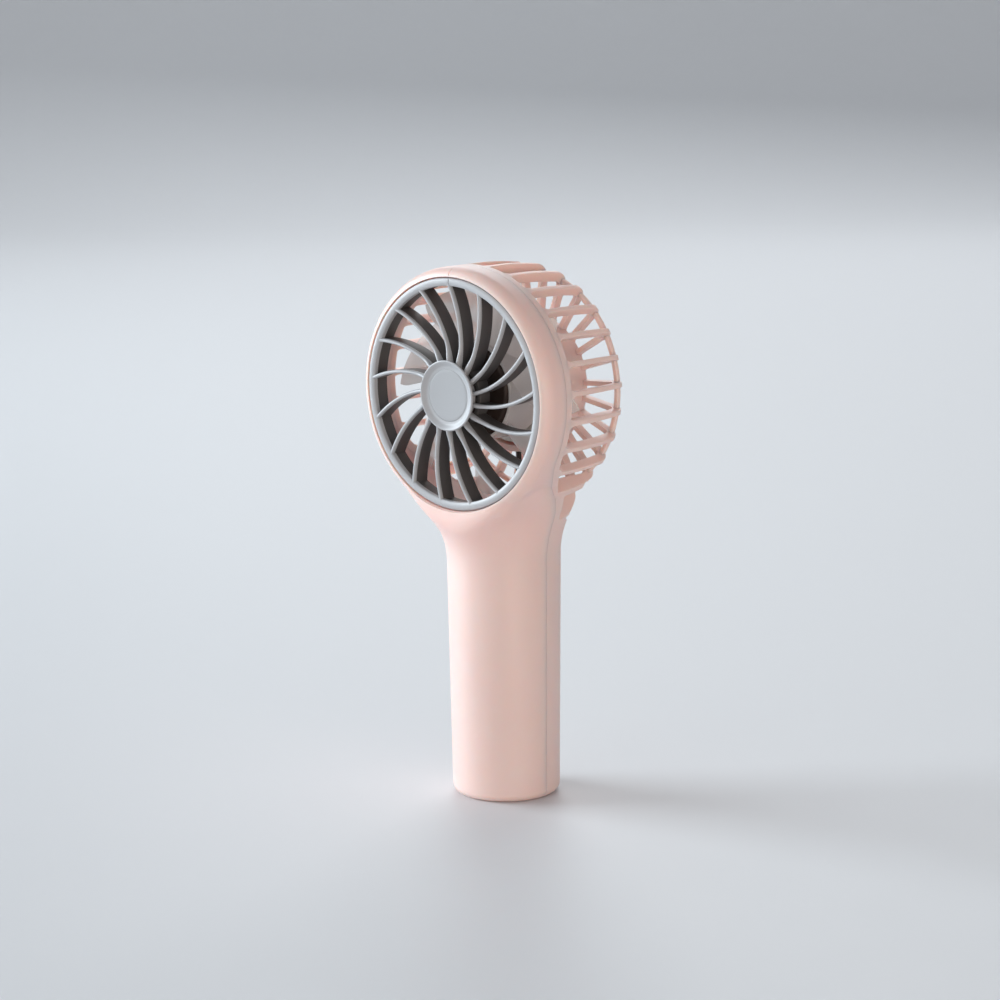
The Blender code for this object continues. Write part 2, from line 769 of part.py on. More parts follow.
def stator_outline():
    """Six T-shaped teeth round a hub."""
    points = []
    half = 1.3
    for tooth in range(TOOTH_COUNT):
        middle = 2 * math.pi * tooth / TOOTH_COUNT
        root = math.asin(half / 5.2)
        neck = math.asin(half / 8.3)
        shoe = math.radians(23)
        points.append(polar(5.2, middle - root))
        points.append(polar(8.3, middle - neck))
        points.append(polar(8.3, middle - shoe))
        points += arc(STATOR_RADIUS, middle - shoe, middle + shoe, 4)
        points.append(polar(8.3, middle + shoe))
        points.append(polar(8.3, middle + neck))
        points.append(polar(5.2, middle + root))
    return points


def rectangle(width, height):
    half_width, half_height = width / 2, height / 2
    return [(-half_width, -half_height), (half_width, -half_height), (half_width, half_height), (-half_width, half_height)]


def stadium(width, height):
    """A slot outline with round ends."""
    radius = height / 2
    reach = width / 2 - radius
    right = arc(radius, -math.pi / 2, math.pi / 2, 6, (reach, 0))
    left = arc(radius, math.pi / 2, 3 * math.pi / 2, 6, (-reach, 0))
    return right + left


def make_coils():
    """Each winding is a rectangular ring round its tooth, turned about the head's axis."""
    length = STATOR_Y[1] - STATOR_Y[0]
    middle = sum(STATOR_Y) / 2
    loops = [rectangle(length + 2.6, 5.0), rectangle(length + 2 * GAP, 2.6 + 2 * GAP)]
    centre = Matrix.Translation(vector(0, middle, HEAD_Z))
    lay = Matrix(((0, 0, 1), (1, 0, 0), (0, 1, 0))).to_4x4()
    for tooth in range(TOOTH_COUNT):
        coil = flat(f"stator_coil_{tooth + 1}", loops, 1.5, MATERIALS["copper"])
        turn = Matrix.Rotation(-2 * math.pi * tooth / TOOTH_COUNT, 4, "Y")
        coil.matrix_world = centre @ turn @ Matrix.Translation(vector(6.7, 0, 0)) @ lay


def make_stator():
    length = STATOR_Y[1] - STATOR_Y[0]
    middle = sum(STATOR_Y) / 2
    outlines = [stator_outline(), circle(TUBE_OUTER + GAP, 24)]
    flat("stator_core", outlines, length, MATERIALS["lamination"], at=(0, middle, HEAD_Z))
    make_coils()


def make_motor_base(paint):
    front, back = PLATE_Y
    profile = [
        (PLATE_RADIUS, back),
        (PLATE_RADIUS, front),
        (TUBE_OUTER, front),
        (TUBE_OUTER, TUBE_FRONT),
        (TUBE_BORE, TUBE_FRONT),
        (TUBE_BORE, back),
    ]
    base = turned("motor_base", profile, paint, ROUND_STEPS, True)
    holes = [(SCREW_BORE, (x, 2, HEAD_Z + z), (x, 8, HEAD_Z + z)) for x, z in motor_screw_spots()]
    holes.append((1.6, (LEAD_X, 2, HEAD_Z - 9.5), (LEAD_X, 8, HEAD_Z - 9.5)))
    boolean(base, rods("cut_base_holes", holes), "DIFFERENCE")
    smooth(base)


def make_motor_fixed():
    make_stator()
    make_motor_base(MATERIALS["white_plastic"])
    board = ring("motor_board", TUBE_OUTER + 0.4, 11.3, 2.2, 3.0, MATERIALS["green_board"])
    lead_hole = rods("cut_board_lead", [(1.2, (LEAD_X, 0, HEAD_Z - 9.5), (LEAD_X, 5, HEAD_Z - 9.5))])
    boolean(board, lead_hole, "DIFFERENCE")
    for name, low in (("bearing_front", -8.5), ("bearing_rear", 3.1)):
        smooth(ring(name, SHAFT_RADIUS + GAP, TUBE_BORE - GAP, low, low + 2.3, MATERIALS["bright_steel"], 24))
    for index, (x, z) in enumerate(motor_screw_spots()):
        screw(f"motor_screw_{index + 1}", (x, PLATE_Y[0] - GAP, HEAD_Z + z), 7.0, -1, 1.5)


def screw(name, seat, length, side, head=SCREW_HEAD):
    """A pan-head screw along y. Its head stands off the seat towards side, its shank goes the other way."""
    x, y, z = seat
    profile = [(0, 1.5), (head * 0.7, 1.4), (head, 0.8), (head, 0), (SCREW_SHANK, 0), (SCREW_SHANK, 0.8 - length), (0, -length)]
    obj = turned(name, profile, MATERIALS["screw_steel"], SMALL_STEPS, at=seat)
    if side < 0:
        obj.rotation_euler.x = math.pi / 2
    driver = rods("cut_drive_" + name, [(0.7, (x, y + side * 0.8, z), (x, y + side * 2.5, z))], segments=6)
    boolean(obj, driver, "DIFFERENCE")
    smooth(obj)


# ---------------------------------------------------------------- inside the handle

def make_cell():
    low, high = CELL_Z
    profile = [
        (0, high + 0.8),
        (2.8, high + 0.8),
        (2.8, high),
        (CELL_RADIUS - 0.4, high),
        (CELL_RADIUS, high - 0.4),
        (CELL_RADIUS, low + 0.4),
        (CELL_RADIUS - 0.4, low),
        (0, low),
    ]
    smooth(turned("battery_cell", profile, MATERIALS["cell_wrap"], ROUND_STEPS, along="Z", at=(0, CELL_Y, 0)))
    tab_low = high + 0.8 + GAP
    box("battery_tab_positive", (-2.5, CELL_Y - 3, tab_low), (2.5, CELL_Y + 6, tab_low + 0.3), MATERIALS["nickel"])
    box("battery_tab_negative", (-2.5, CELL_Y - 3, low - 0.6), (2.5, CELL_Y + 6, low - 0.3), MATERIALS["nickel"])
    back = CELL_Y + CELL_RADIUS + GAP
    box("battery_pad", (-4.5, back, 26.8), (4.5, BOARD_Y[0] - GAP, 40.2), MATERIALS["foam"])


def make_leads():
    front = BOARD_Y[0] - GAP - 0.6
    top = CELL_Z[1] + 1.3
    positive = [(1.5, 3.4, top), (1.5, 5.4, top), (2.0, 6.9, top - 1.0), (2.4, front, top - 3.0), (2.6, front, 67.5)]
    cable("battery_lead_positive", positive, 0.6, MATERIALS["red_wire"])
    low = CELL_Z[0] - 1.6
    negative = [(0, 1.2, low), (0, 4.5, low), (0, 6.3, low + 0.6), (0, front, low + 2.6), (0, front, 13.5)]
    cable("battery_lead_negative", negative, 0.6, MATERIALS["black_wire"])
    drop = HEAD_Z - 9.5
    route = [
        (LEAD_X, 2.4, drop),
        (LEAD_X, 6.6, drop),
        (LEAD_X, 9.4, drop - 1.2),
        (LEAD_X, 11.0, drop - 4.0),
        (LEAD_X, 11.2, drop - 7.0),
        (LEAD_X, 11.2, 90.0),
        (LEAD_X, 11.0, 86.0),
        (LEAD_X, 9.9, 82.2),
        (LEAD_X, 8.4, 78.2),
        (LEAD_X, 7.2, 74.4),
        (LEAD_X, BOARD_Y[0] - GAP - LEAD_RADIUS, 71.5),
        (LEAD_X, BOARD_Y[0] - GAP - LEAD_RADIUS, 67.5),
    ]
    cable("motor_lead", route, LEAD_RADIUS, MATERIALS["black_wire"])


def make_board():
    low, high = BOARD_Z
    thickness = BOARD_Y[1] - BOARD_Y[0]
    middle = sum(BOARD_Y) / 2
    outline = [(-BOARD_HALF, low), (BOARD_HALF, low), (BOARD_HALF, high), (-BOARD_HALF, high)]
    holes = [circle(SCREW_BORE, 16, (0, z)) for z in BOARD_SCREW_Z]
    flat("main_board", [outline] + holes, thickness, MATERIALS["green_board"], at=(0, middle, 0))
    for index, z in enumerate(BOARD_SCREW_Z):
        screw(f"board_screw_{index + 1}", (0, BOARD_Y[0] - GAP, z), 4.4, -1, 1.6)
    back, front = BOARD_Y[1] + GAP, BOARD_Y[0] - GAP
    box("charge_chip", (-6.6, back, 24.5), (-3.1, back + 1.2, 28.5), MATERIALS["black_epoxy"])
    box("motor_driver_chip", (-2.5, front - 1.0, 49.0), (2.5, front, 54.0), MATERIALS["black_epoxy"])
    box("status_led", (-0.8, back, LIGHT_Z - 0.5), (0.8, back + 0.6, LIGHT_Z + 0.5), MATERIALS["led"])


def make_usb():
    back = BOARD_Y[1] + GAP
    shell = flat("usb_socket", [stadium(8.94, 3.26)], 4.6, MATERIALS["bright_steel"], at=(0, back + 2.3, USB_Z))
    hollow = flat("cut_usb_hollow", [stadium(8.3, 2.6)], 6.0, at=(0, back + 4.0, USB_Z))
    boolean(shell, hollow, "DIFFERENCE")
    smooth(shell)
    box("usb_contact_tongue", (-3.3, back + 1.3, USB_Z - 0.35), (3.3, back + 3.9, USB_Z + 0.35), MATERIALS["black_epoxy"])


def make_button():
    back = BOARD_Y[1] + GAP
    switch = box("power_switch", (-2.6, back, BUTTON_Z - 2.6), (2.6, back + 1.1, BUTTON_Z + 2.6), MATERIALS["black_epoxy"])
    well = rods("cut_switch_well", [(1.35, (0, back + 0.3, BUTTON_Z), (0, back + 3, BUTTON_Z))])
    boolean(switch, well, "DIFFERENCE")
    axis = (0, 0, BUTTON_Z)
    plunger = disc("switch_plunger", 1.0, back + 0.95, back + 1.6, MATERIALS["white_plastic"], SMALL_STEPS, at=axis)
    smooth(plunger)
    flange = back + 1.9
    profile = [
        (0, BUTTON_FACE - 0.35),
        (BUTTON_RADIUS * 0.55, BUTTON_FACE - 0.2),
        (BUTTON_RADIUS - 0.5, BUTTON_FACE),
        (BUTTON_RADIUS, BUTTON_FACE - 0.5),
        (BUTTON_RADIUS, flange + 0.8),
        (5.6, flange + 0.8),
        (5.6, flange),
        (0, flange),
    ]
    smooth(turned("power_button", profile, MATERIALS["grille_grey"], 32, at=axis))


def make_light():
    axis = (0, 0, LIGHT_Z)
    back = BOARD_Y[1] + GAP
    profile = [(0, 15.9), (1.0, 15.8), (1.0, 13.1), (1.9, 13.1), (1.9, 12.4), (1.0, 12.4), (1.0, back + 0.9), (0, back + 0.9)]
    smooth(turned("indicator_light", profile, MATERIALS["clear_blade"], SMALL_STEPS, at=axis))


def make_housing_screws():
    for index, (x, z) in enumerate(housing_screw_spots()):
        screw(f"housing_screw_{index + 1}", (x, 9 + GAP, z), 15.5, 1)


MATERIALS = {
    "pink_shell": ((238, 205, 196), 0.42),
    "grille_grey": ((203, 204, 208), 0.38),
    "satin_grey": ((195, 196, 200), 0.32),
    "charcoal": ((66, 64, 63), 0.5),
    "clear_blade": ((226, 224, 222), 0.25),
    "black_steel": ((40, 35, 33), 0.4, 0.6),
    "bright_steel": ((190, 190, 192), 0.25, 1.0),
    "screw_steel": ((120, 120, 122), 0.35, 1.0),
    "magnet": ((52, 52, 54), 0.6),
    "copper": ((196, 112, 62), 0.35, 1.0),
    "lamination": ((122, 124, 128), 0.45, 1.0),
    "white_plastic": ((226, 226, 222), 0.5),
    "green_board": ((34, 92, 58), 0.4),
    "black_epoxy": ((30, 30, 32), 0.5),
    "cell_wrap": ((70, 110, 160), 0.35),
    "nickel": ((186, 184, 178), 0.3, 1.0),
    "foam": ((70, 70, 72), 0.9),
    "red_wire": ((178, 32, 30), 0.45),
    "black_wire": ((28, 28, 30), 0.45),
    "led": ((240, 238, 200), 0.3),
}

clear_scene()
PIECES = new_collection("handheld_fan")
CUTTERS = new_collection("cutters")
MATERIALS = {name: material(name, *values) for name, values in MATERIALS.items()}
make_front_housing(MATERIALS["pink_shell"])
make_rear_housing(MATERIALS["pink_shell"])
make_front_grille(MATERIALS["grille_grey"])
make_vane_insert(MATERIALS["charcoal"])
make_rotor()
make_motor_fixed()
make_cell()
make_leads()
make_board()
make_usb()
make_button()
make_light()
make_housing_screws()
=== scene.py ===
"""A handheld electric fan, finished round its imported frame.

Everything below is worked out in millimetres and put into the meshes in metres. The handle stands on
z = 0 with its axis on x = y = 0, the head's axis runs along y, and the air leaves towards -y. Angles in
the head are measured from +x towards +z. A profile is a list of (radius, y) round an axis along y.
"""

import json
import math

import bmesh
import bpy
import numpy as np
from mathutils import Matrix, Vector


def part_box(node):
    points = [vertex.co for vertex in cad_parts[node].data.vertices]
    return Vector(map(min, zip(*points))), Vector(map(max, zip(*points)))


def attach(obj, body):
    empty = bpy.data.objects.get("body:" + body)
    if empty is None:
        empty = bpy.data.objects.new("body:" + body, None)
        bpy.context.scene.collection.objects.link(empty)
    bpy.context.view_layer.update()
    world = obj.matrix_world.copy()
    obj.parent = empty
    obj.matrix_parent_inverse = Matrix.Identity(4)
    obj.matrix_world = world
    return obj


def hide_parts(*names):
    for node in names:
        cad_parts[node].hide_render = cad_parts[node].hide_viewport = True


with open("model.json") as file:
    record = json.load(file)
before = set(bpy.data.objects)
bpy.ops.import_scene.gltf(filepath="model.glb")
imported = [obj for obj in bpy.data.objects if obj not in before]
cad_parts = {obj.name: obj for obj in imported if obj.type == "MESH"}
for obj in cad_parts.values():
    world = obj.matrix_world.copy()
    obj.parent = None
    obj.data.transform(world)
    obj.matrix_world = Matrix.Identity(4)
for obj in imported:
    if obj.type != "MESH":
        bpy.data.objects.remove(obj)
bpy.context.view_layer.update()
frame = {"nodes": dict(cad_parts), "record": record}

MM = 0.001
NODES = frame["nodes"]


def low(node, axis):
    """A node's lowest place along an axis, in millimetres."""
    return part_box(node)[0][axis] / MM


def high(node, axis):
    """A node's highest place along an axis, in millimetres."""
    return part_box(node)[1][axis] / MM


FULL_TURN = 2 * math.pi
QUARTER_TURN = math.pi / 2

# Handle
BASE_RADIUS = 15.07
HANDLE_GROWTH = 0.0126
BASE_FILLET = 2.3
FLOOR_RADIUS = 12.15
FLOOR_TOP = 2.7
SHELL_WALL = 1.9
COLUMN_TOP = 80.0
NECK_TOP = 97.0

# Head
HEAD_Z = (low("front_grille", 2) + high("front_grille", 2)) / 2
HEAD_RADIUS = high("rear_housing", 2) - HEAD_Z
HEAD_FRONT = -21.1
HEAD_BACK = 15.0
HEAD_EDGE = 4.6
BACK_TAPER = 1.0
TAPER_START, TAPER_LENGTH = -5.0, 15.0
HEAD_MIDDLE, HEAD_HALF = (HEAD_FRONT + HEAD_BACK) / 2, (HEAD_BACK - HEAD_FRONT) / 2 - HEAD_EDGE
DUCT_RADIUS = 31.3
POCKET_RADIUS = 32.1
POCKET_FLOOR = -18.6
NECK_REACH = 16.0
NECK_REACH_BACK = 6.8
NECK_SINK = 0.5
FRONT_PLANE = -20.9
FRONT_REACH = 1.5
ON_FORM = 0.12
HALVINGS = 26
PAST_BACK, PAST_FRONT = 20.0, -30.0

# Parting line
SEAM_BOTTOM, SEAM_TOP = 79.0, 100.0
SEAM_HEAD_Y = -12.3
SEAM_HALF = 0.035

# Cage
BAR_COUNT = 27
BAR_HALF = 0.72
BAR_DEPTH = 2.8
BAR_PROUD = -0.005
BAR_BEND = 5.2
BAR_EDGE = 0.34
BAR_START = 1.6
POD_RADIUS = 18.8
POD_FRONT = 3.6
CAGE_FLOOR = 12.4
SLOT_BEHIND_SEAM = 2.2
NECK_BARS = 3
LOWEST_SLOT_REACH, NEXT_SLOT_REACH = 37.5, 45.0
SLOT_RUN_OUT, SLOT_RISE = 8.0, 14.0
POD_FLOOR = HEAD_BACK - 0.5
POD_RIM = 1.1
HOOP_INNER, HOOP_OUTER = 30.1, 31.5
HOOP_FRONT, HOOP_BACK = 12.3, 13.75

# Grille
SPOKE_COUNT = 17
SPOKE_SWEEP = math.radians(0.95)
FIRST_SPOKE = math.radians(91.0)
RING_OUTER, RING_INNER = 31.8, 29.6
RING_FACE, RING_REAR = -20.3, -18.9
BOSS_FACE = low("front_grille", 1)
VANE_FRONT, VANE_REAR = low("vane_insert", 1), high("vane_insert", 1)

# Rotor
BLADE_COUNT = 7
BLADE_ROOT = 13.4
BLADE_TIP = 28.9
BLADE_MIDDLE_Y = -5.4
HUB_RADIUS = 13.9
CAN_RADIUS = high("rotor_can", 0)
CAN_FRONT, CAN_REAR = low("rotor_can", 1), high("rotor_can", 1)

# Openings in the back of the handle
SCREW_NODES = ["housing_screw_1", "housing_screw_2", "housing_screw_3"]
SCREW_HEAD_HOLE, SCREW_BORE = 2.2, 1.25
CROSS_TURN = 0.4
SCREW_PAD_RADIUS, SCREW_PAD_BACK = 3.3, 15.8
BUTTON_HOLE, LIGHT_HOLE = 4.65, 1.2
SOCKET_GAP = 0.3


# ---------------------------------------------------------------- mesh helpers

def grid_quads(rows, columns, wrap):
    """Corner numbers of the quads of a rows x columns grid, closed round its columns when wrap is set."""
    across = columns if wrap else columns - 1
    i, j = np.meshgrid(np.arange(rows - 1), np.arange(across), indexing="ij")
    k = (j + 1) % columns
    corners = (i * columns + j, i * columns + k, (i + 1) * columns + k, (i + 1) * columns + j)
    return np.stack(corners, axis=-1).reshape(-1, 4)


def build(name, points, wrap=True, caps=True, closed=False):
    """An object from a grid of points in millimetres. Doubles are merged and faces turned outwards."""
    rows, columns = points.shape[:2]
    if closed:
        points = np.concatenate([points, points[:1]])
        rows += 1
    quads = grid_quads(rows, columns, wrap).tolist()
    if caps and not closed:
        quads += [list(range(columns)), list(range(rows * columns - columns, rows * columns))]
    mesh = bpy.data.meshes.new(name)
    mesh.from_pydata((points.reshape(-1, 3) * MM).tolist(), [], quads)
    tidy = bmesh.new()
    tidy.from_mesh(mesh)
    bmesh.ops.remove_doubles(tidy, verts=tidy.verts, dist=1e-7)
    bmesh.ops.recalc_face_normals(tidy, faces=tidy.faces)
    tidy.to_mesh(mesh)
    tidy.free()
    obj = bpy.data.objects.new(name, mesh)
    bpy.context.scene.collection.objects.link(obj)
    return obj


def full_turn(steps):
    """Equal angles round a circle, without the repeated last one."""
    return FULL_TURN * np.arange(steps) / steps


def spun_at(name, profile, x, z, steps=64):
    """A profile of (radius, y) carried a full turn round an axis along y through x, z."""
    profile = np.array(profile, float)
    turn = full_turn(steps)
    across = x + np.cos(turn)[:, None] * profile[:, 0]
    up = z + np.sin(turn)[:, None] * profile[:, 0]
    points = np.stack([across, np.broadcast_to(profile[:, 1], across.shape), up], axis=-1)
    return build(name, points, caps=False, closed=True)


def spun(name, profile, steps=216):
    """A profile of (radius, y) carried a full turn round the head's axis."""
    return spun_at(name, profile, 0.0, HEAD_Z, steps)


def quarter(radius, y, width, height, steps=8):
    """A quarter of an ellipse round (radius, y), as a list: from its face out to its side. The face is
    behind the middle, or in front of it where height is negative."""
    swing = np.linspace(0, QUARTER_TURN, steps)
    return np.stack([radius + width * np.sin(swing), y + height * np.cos(swing)], axis=-1).tolist()


def rounded(corners, radius, steps=5):
    """A closed outline with each corner cut by an arc that touches both sides."""
    corners = np.array(corners, float)
    before = np.roll(corners, 1, axis=0) - corners
    after = np.roll(corners, -1, axis=0) - corners
    before /= np.linalg.norm(before, axis=1)[:, None]
    after /= np.linalg.norm(after, axis=1)[:, None]
    half = np.arccos(np.clip((before * after).sum(1), -1, 1)) / 2
    radius = np.broadcast_to(radius, half.shape)
    middle = before + after
    middle /= np.linalg.norm(middle, axis=1)[:, None]
    centre = corners + middle * (radius / np.sin(half))[:, None]
    one = corners + before * (radius / np.tan(half))[:, None] - centre
    two = corners + after * (radius / np.tan(half))[:, None] - centre
    share = np.linspace(0, 1, steps + 1)[None, :, None]
    bow = one[:, None] * (1 - share) + two[:, None] * share
    bow *= radius[:, None, None] / np.maximum(np.linalg.norm(bow, axis=2, keepdims=True), 1e-9)
    return (centre[:, None] + bow).reshape(-1, 2)


def smoothstep(start, end, value):
    """The share of the way from start to end, eased at both: three times its square less twice its cube."""
    share = np.clip((value - start) / (end - start), 0, 1)
    return share * share * (3 - 2 * share)


def boolean(obj, other, operation):
    """Joins or cuts, then removes the other object."""
    for each in (obj, other):
        each.modifiers.new("Triangles", "TRIANGULATE")
    step = obj.modifiers.new(operation, "BOOLEAN")
    step.operation = operation
    step.object = other
    step.solver = "MANIFOLD"
    settle(obj)
    bpy.data.objects.remove(other, do_unlink=True)


def settle(obj):
    """Replaces an object's mesh by what its modifiers make of it."""
    bpy.context.view_layer.update()
    graph = bpy.context.evaluated_depsgraph_get()
    mesh = bpy.data.meshes.new_from_object(obj.evaluated_get(graph))
    obj.modifiers.clear()
    obj.data = mesh


def join(name, objects):
    """One object from several. Each stays a closed surface of its own."""
    whole = bmesh.new()
    for obj in objects:
        whole.from_mesh(obj.data)
        bpy.data.objects.remove(obj, do_unlink=True)
    mesh = bpy.data.meshes.new(name)
    whole.to_mesh(mesh)
    whole.free()
    obj = bpy.data.objects.new(name, mesh)
    bpy.context.scene.collection.objects.link(obj)
    return obj


def smooth(obj, degrees=32):
    """Shades an object smooth, apart from edges that turn by more than the angle."""
    obj.data.shade_smooth()
    obj.data.set_sharp_from_angle(angle=math.radians(degrees))
    return obj


# ---------------------------------------------------------------- outer form

def handle_radius(z):
    """A straight column that widens slowly, with a quarter-round at its foot."""
    rise = np.clip(BASE_FILLET - z, 0, BASE_FILLET)
    return BASE_RADIUS + HANDLE_GROWTH * z - BASE_FILLET + np.sqrt(BASE_FILLET**2 - rise**2)


def head_taper(y):
    """How much the head has narrowed at y: it grows with the square of the way back."""
    return BACK_TAPER * np.clip((y - TAPER_START) / TAPER_LENGTH, 0, 1) ** 2


def form_parts(x, y, z):
    """Distances to the handle, to the head, and the reach of the fillet between them."""
    handle = np.maximum(np.hypot(x, y) - handle_radius(z), z - COLUMN_TOP)
    radial = np.hypot(x, z - HEAD_Z) - (HEAD_RADIUS - head_taper(y) - HEAD_EDGE)
    axial = np.abs(y - HEAD_MIDDLE) - HEAD_HALF
    head = np.hypot(np.maximum(radial, 0), np.maximum(axial, 0)) - HEAD_EDGE
    head = head + np.minimum(np.maximum(radial, axial), 0)
    reach = NECK_REACH + (NECK_REACH_BACK - NECK_REACH) * smoothstep(8, 16, y)
    return handle, head, reach


def form_distance(x, y, z, sunk=0.0):
    """The nearer of handle and head, less the square of how close they run: a wide smooth fillet."""
    handle, head, reach = form_parts(x, y, z)
    near = np.maximum(reach - np.abs(handle - head), 0) / reach
    sink = sunk * smoothstep(0.2, 0.9, (handle - head) / reach)
    return held_back(np.minimum(handle, head) - near * near * reach / 4 + sink, y)


def held_back(distance, y):
    """The greater of a distance and the distance in front of a flat plane, rounded where they meet."""
    ahead = FRONT_PLANE - y
    near = np.maximum(FRONT_REACH - np.abs(distance - ahead), 0)
    return np.maximum(distance, ahead) + near * near / (4 * FRONT_REACH)


def form_normal(points):
    """The slope of the outer form's distance at each point, by small steps along each axis."""
    step = 0.02
    slope = np.empty_like(points)
    for axis in range(3):
        shift = np.zeros(3)
        shift[axis] = step
        ahead, behind = points + shift, points - shift
        slope[:, axis] = form_distance(*ahead.T) - form_distance(*behind.T)
    return slope / np.maximum(np.linalg.norm(slope, axis=1), 1e-9)[:, None]


def handle_surface(name):
    """Handle and neck: at each height and angle, where a level ray leaves the blended form. The place is
    found by halving the gap between a point inside and a point outside."""
    foot = BASE_FILLET * (1 - np.cos(np.linspace(0, QUARTER_TURN, 9)))
    levels = np.concatenate([foot, [20, 40, 56], np.arange(62, NECK_TOP, 0.8), [NECK_TOP]])
    turn = full_turn(192)
    z = np.repeat(levels[:, None], len(turn), axis=1)
    x, y = np.broadcast_to(np.cos(turn), z.shape), np.broadcast_to(np.sin(turn), z.shape)
    inner, outer = np.full(z.shape, 5.0), np.full(z.shape, 48.0)
    for _ in range(HALVINGS):
        middle = (inner + outer) / 2
        inside = form_distance(x * middle, y * middle, z, NECK_SINK) < 0
        inner, outer = np.where(inside, middle, inner), np.where(inside, outer, middle)
    return build(name, np.stack([x * inner, y * inner, z], axis=-1))


def head_side():
    """(radius, y) of the head's outer side from back to front: a tapered side with round ends. The front
    end is found by halving, where a ray from the middle of its arc leaves the form."""
    swing = np.linspace(0, QUARTER_TURN, 10)
    back_y = HEAD_MIDDLE + HEAD_HALF + HEAD_EDGE * np.cos(swing)
    y = np.concatenate([back_y, np.linspace(back_y[-1], HEAD_MIDDLE - HEAD_HALF, 24)[1:-1]])
    past = np.maximum(y - HEAD_MIDDLE - HEAD_HALF, 0)
    radius = HEAD_RADIUS - head_taper(y) - HEAD_EDGE + np.sqrt(HEAD_EDGE**2 - np.minimum(past, HEAD_EDGE) ** 2)
    swing = np.linspace(0, QUARTER_TURN, 16)
    front_y = HEAD_MIDDLE - HEAD_HALF
    inner, outer = np.zeros(16), np.full(16, 6.0)
    for _ in range(HALVINGS):
        length = (inner + outer) / 2
        inside = held_back(length - HEAD_EDGE, front_y - length * np.sin(swing)) < 0
        inner, outer = np.where(inside, length, inner), np.where(inside, outer, length)
    lip = [HEAD_RADIUS - HEAD_EDGE + inner * np.cos(swing), front_y - inner * np.sin(swing)]
    return np.concatenate([np.stack([radius, y], axis=-1), np.stack(lip, axis=-1)])


def head_solid(name):
    """The head as one solid, from its side and the middles of its two faces."""
    return spun(name, np.concatenate([[(0.0, HEAD_BACK)], head_side(), [(0.0, HEAD_FRONT)]]))


def seam_y(z):
    """The parting line runs up the middle of the handle, then eases forward to the front of the head."""
    return SEAM_HEAD_Y * smoothstep(SEAM_BOTTOM, SEAM_TOP, z)


def front_region(name, shift):
    """Everything in front of the parting line moved back by shift, and the round floor of the handle."""
    below, above, ahead, aside = -5.0, 160.0, -40.0, 46.0
    rise = np.concatenate([[below], np.linspace(SEAM_BOTTOM, SEAM_TOP, 29), [above]])
    y = np.concatenate([seam_y(rise) + shift, [ahead, ahead]])
    z = np.concatenate([rise, [above, below]])
    sides = [np.stack([np.full(len(y), x), y, z], axis=-1) for x in (-aside, aside)]
    region = build(name, np.stack(sides))
    radius = FLOOR_RADIUS + shift
    turn = full_turn(96)
    ring = np.stack([radius * np.cos(turn), radius * np.sin(turn), 0 * turn], axis=-1)
    floor = build(name + "_floor", np.stack([ring + (0, 0, -3), ring + (0, 0, FLOOR_TOP + shift)]))
    boolean(region, floor, "UNION")
    return region


def outer_normals(obj):
    """Gives faces that lie on the outer form the form's own normals, so the neck shows no seams. A face
    counts when all its corners lie on the form and face about the same way as it."""
    smooth(obj)
    mesh = obj.data
    count = len(mesh.vertices)
    points = np.empty(count * 3)
    mesh.vertices.foreach_get("co", points)
    points = points.reshape(-1, 3) / MM
    slope = form_normal(points)
    on_form = np.abs(form_distance(*points.T)) < ON_FORM
    corner = np.empty(len(mesh.loops), np.int32)
    mesh.loops.foreach_get("vertex_index", corner)
    starts = np.empty(len(mesh.polygons), np.int32)
    sizes = np.empty(len(mesh.polygons), np.int32)
    facing = np.empty(len(mesh.polygons) * 3)
    mesh.polygons.foreach_get("loop_start", starts)
    mesh.polygons.foreach_get("loop_total", sizes)
    mesh.polygons.foreach_get("normal", facing)
    owner = np.repeat(np.arange(len(sizes)), sizes)
    agree = (slope[corner] * facing.reshape(-1, 3)[owner]).sum(axis=1) > 0.8
    good = agree & on_form[corner]
    share = np.bincount(owner, weights=good, minlength=len(sizes)) / sizes
    use = share[owner] > 0.99
    normals = np.where(use[:, None], slope[corner], 0.0)
    mesh.normals_split_custom_set(normals.tolist())
    return obj


def handle_hollow():
    """The space inside the handle: a turned column one wall inside it, that narrows at its top."""
    z = np.array([2.4, 4, 30, 60, 72, 74, 75.5])
    narrowed = np.array([0, 0, 0, 0, 0, 1.4, 4.2])
    radius = (handle_radius(np.maximum(z, 4)) - SHELL_WALL - narrowed)[:, None]
    turn = full_turn(96)
    points = [radius * np.cos(turn), radius * np.sin(turn), z[:, None] + 0 * turn]
    return build("hollow", np.stack(points, axis=-1))


# ---------------------------------------------------------------- shell pieces

def shell_front():
    """Front half of the shell: lip, pocket for the grille, duct wall, and the front of neck and handle."""
    body = handle_surface("shell_front")
    boolean(body, handle_hollow(), "DIFFERENCE")
    boolean(body, head_solid("head"), "UNION")
    pocket = [(0, PAST_BACK), (DUCT_RADIUS, PAST_BACK), (DUCT_RADIUS, POCKET_FLOOR)]
    pocket += [(POCKET_RADIUS, POCKET_FLOOR), (POCKET_RADIUS, -20.15), (POCKET_RADIUS + 0.3, -20.6)]
    pocket += [(POCKET_RADIUS + 0.5, -25), (0, -25)]
    boolean(body, spun("pocket", pocket), "DIFFERENCE")
    boolean(body, front_region("front", -SEAM_HALF), "INTERSECT")
    boolean(body, index_mark(32.4, 34.1, lip_face), "DIFFERENCE")
    return outer_normals(body)


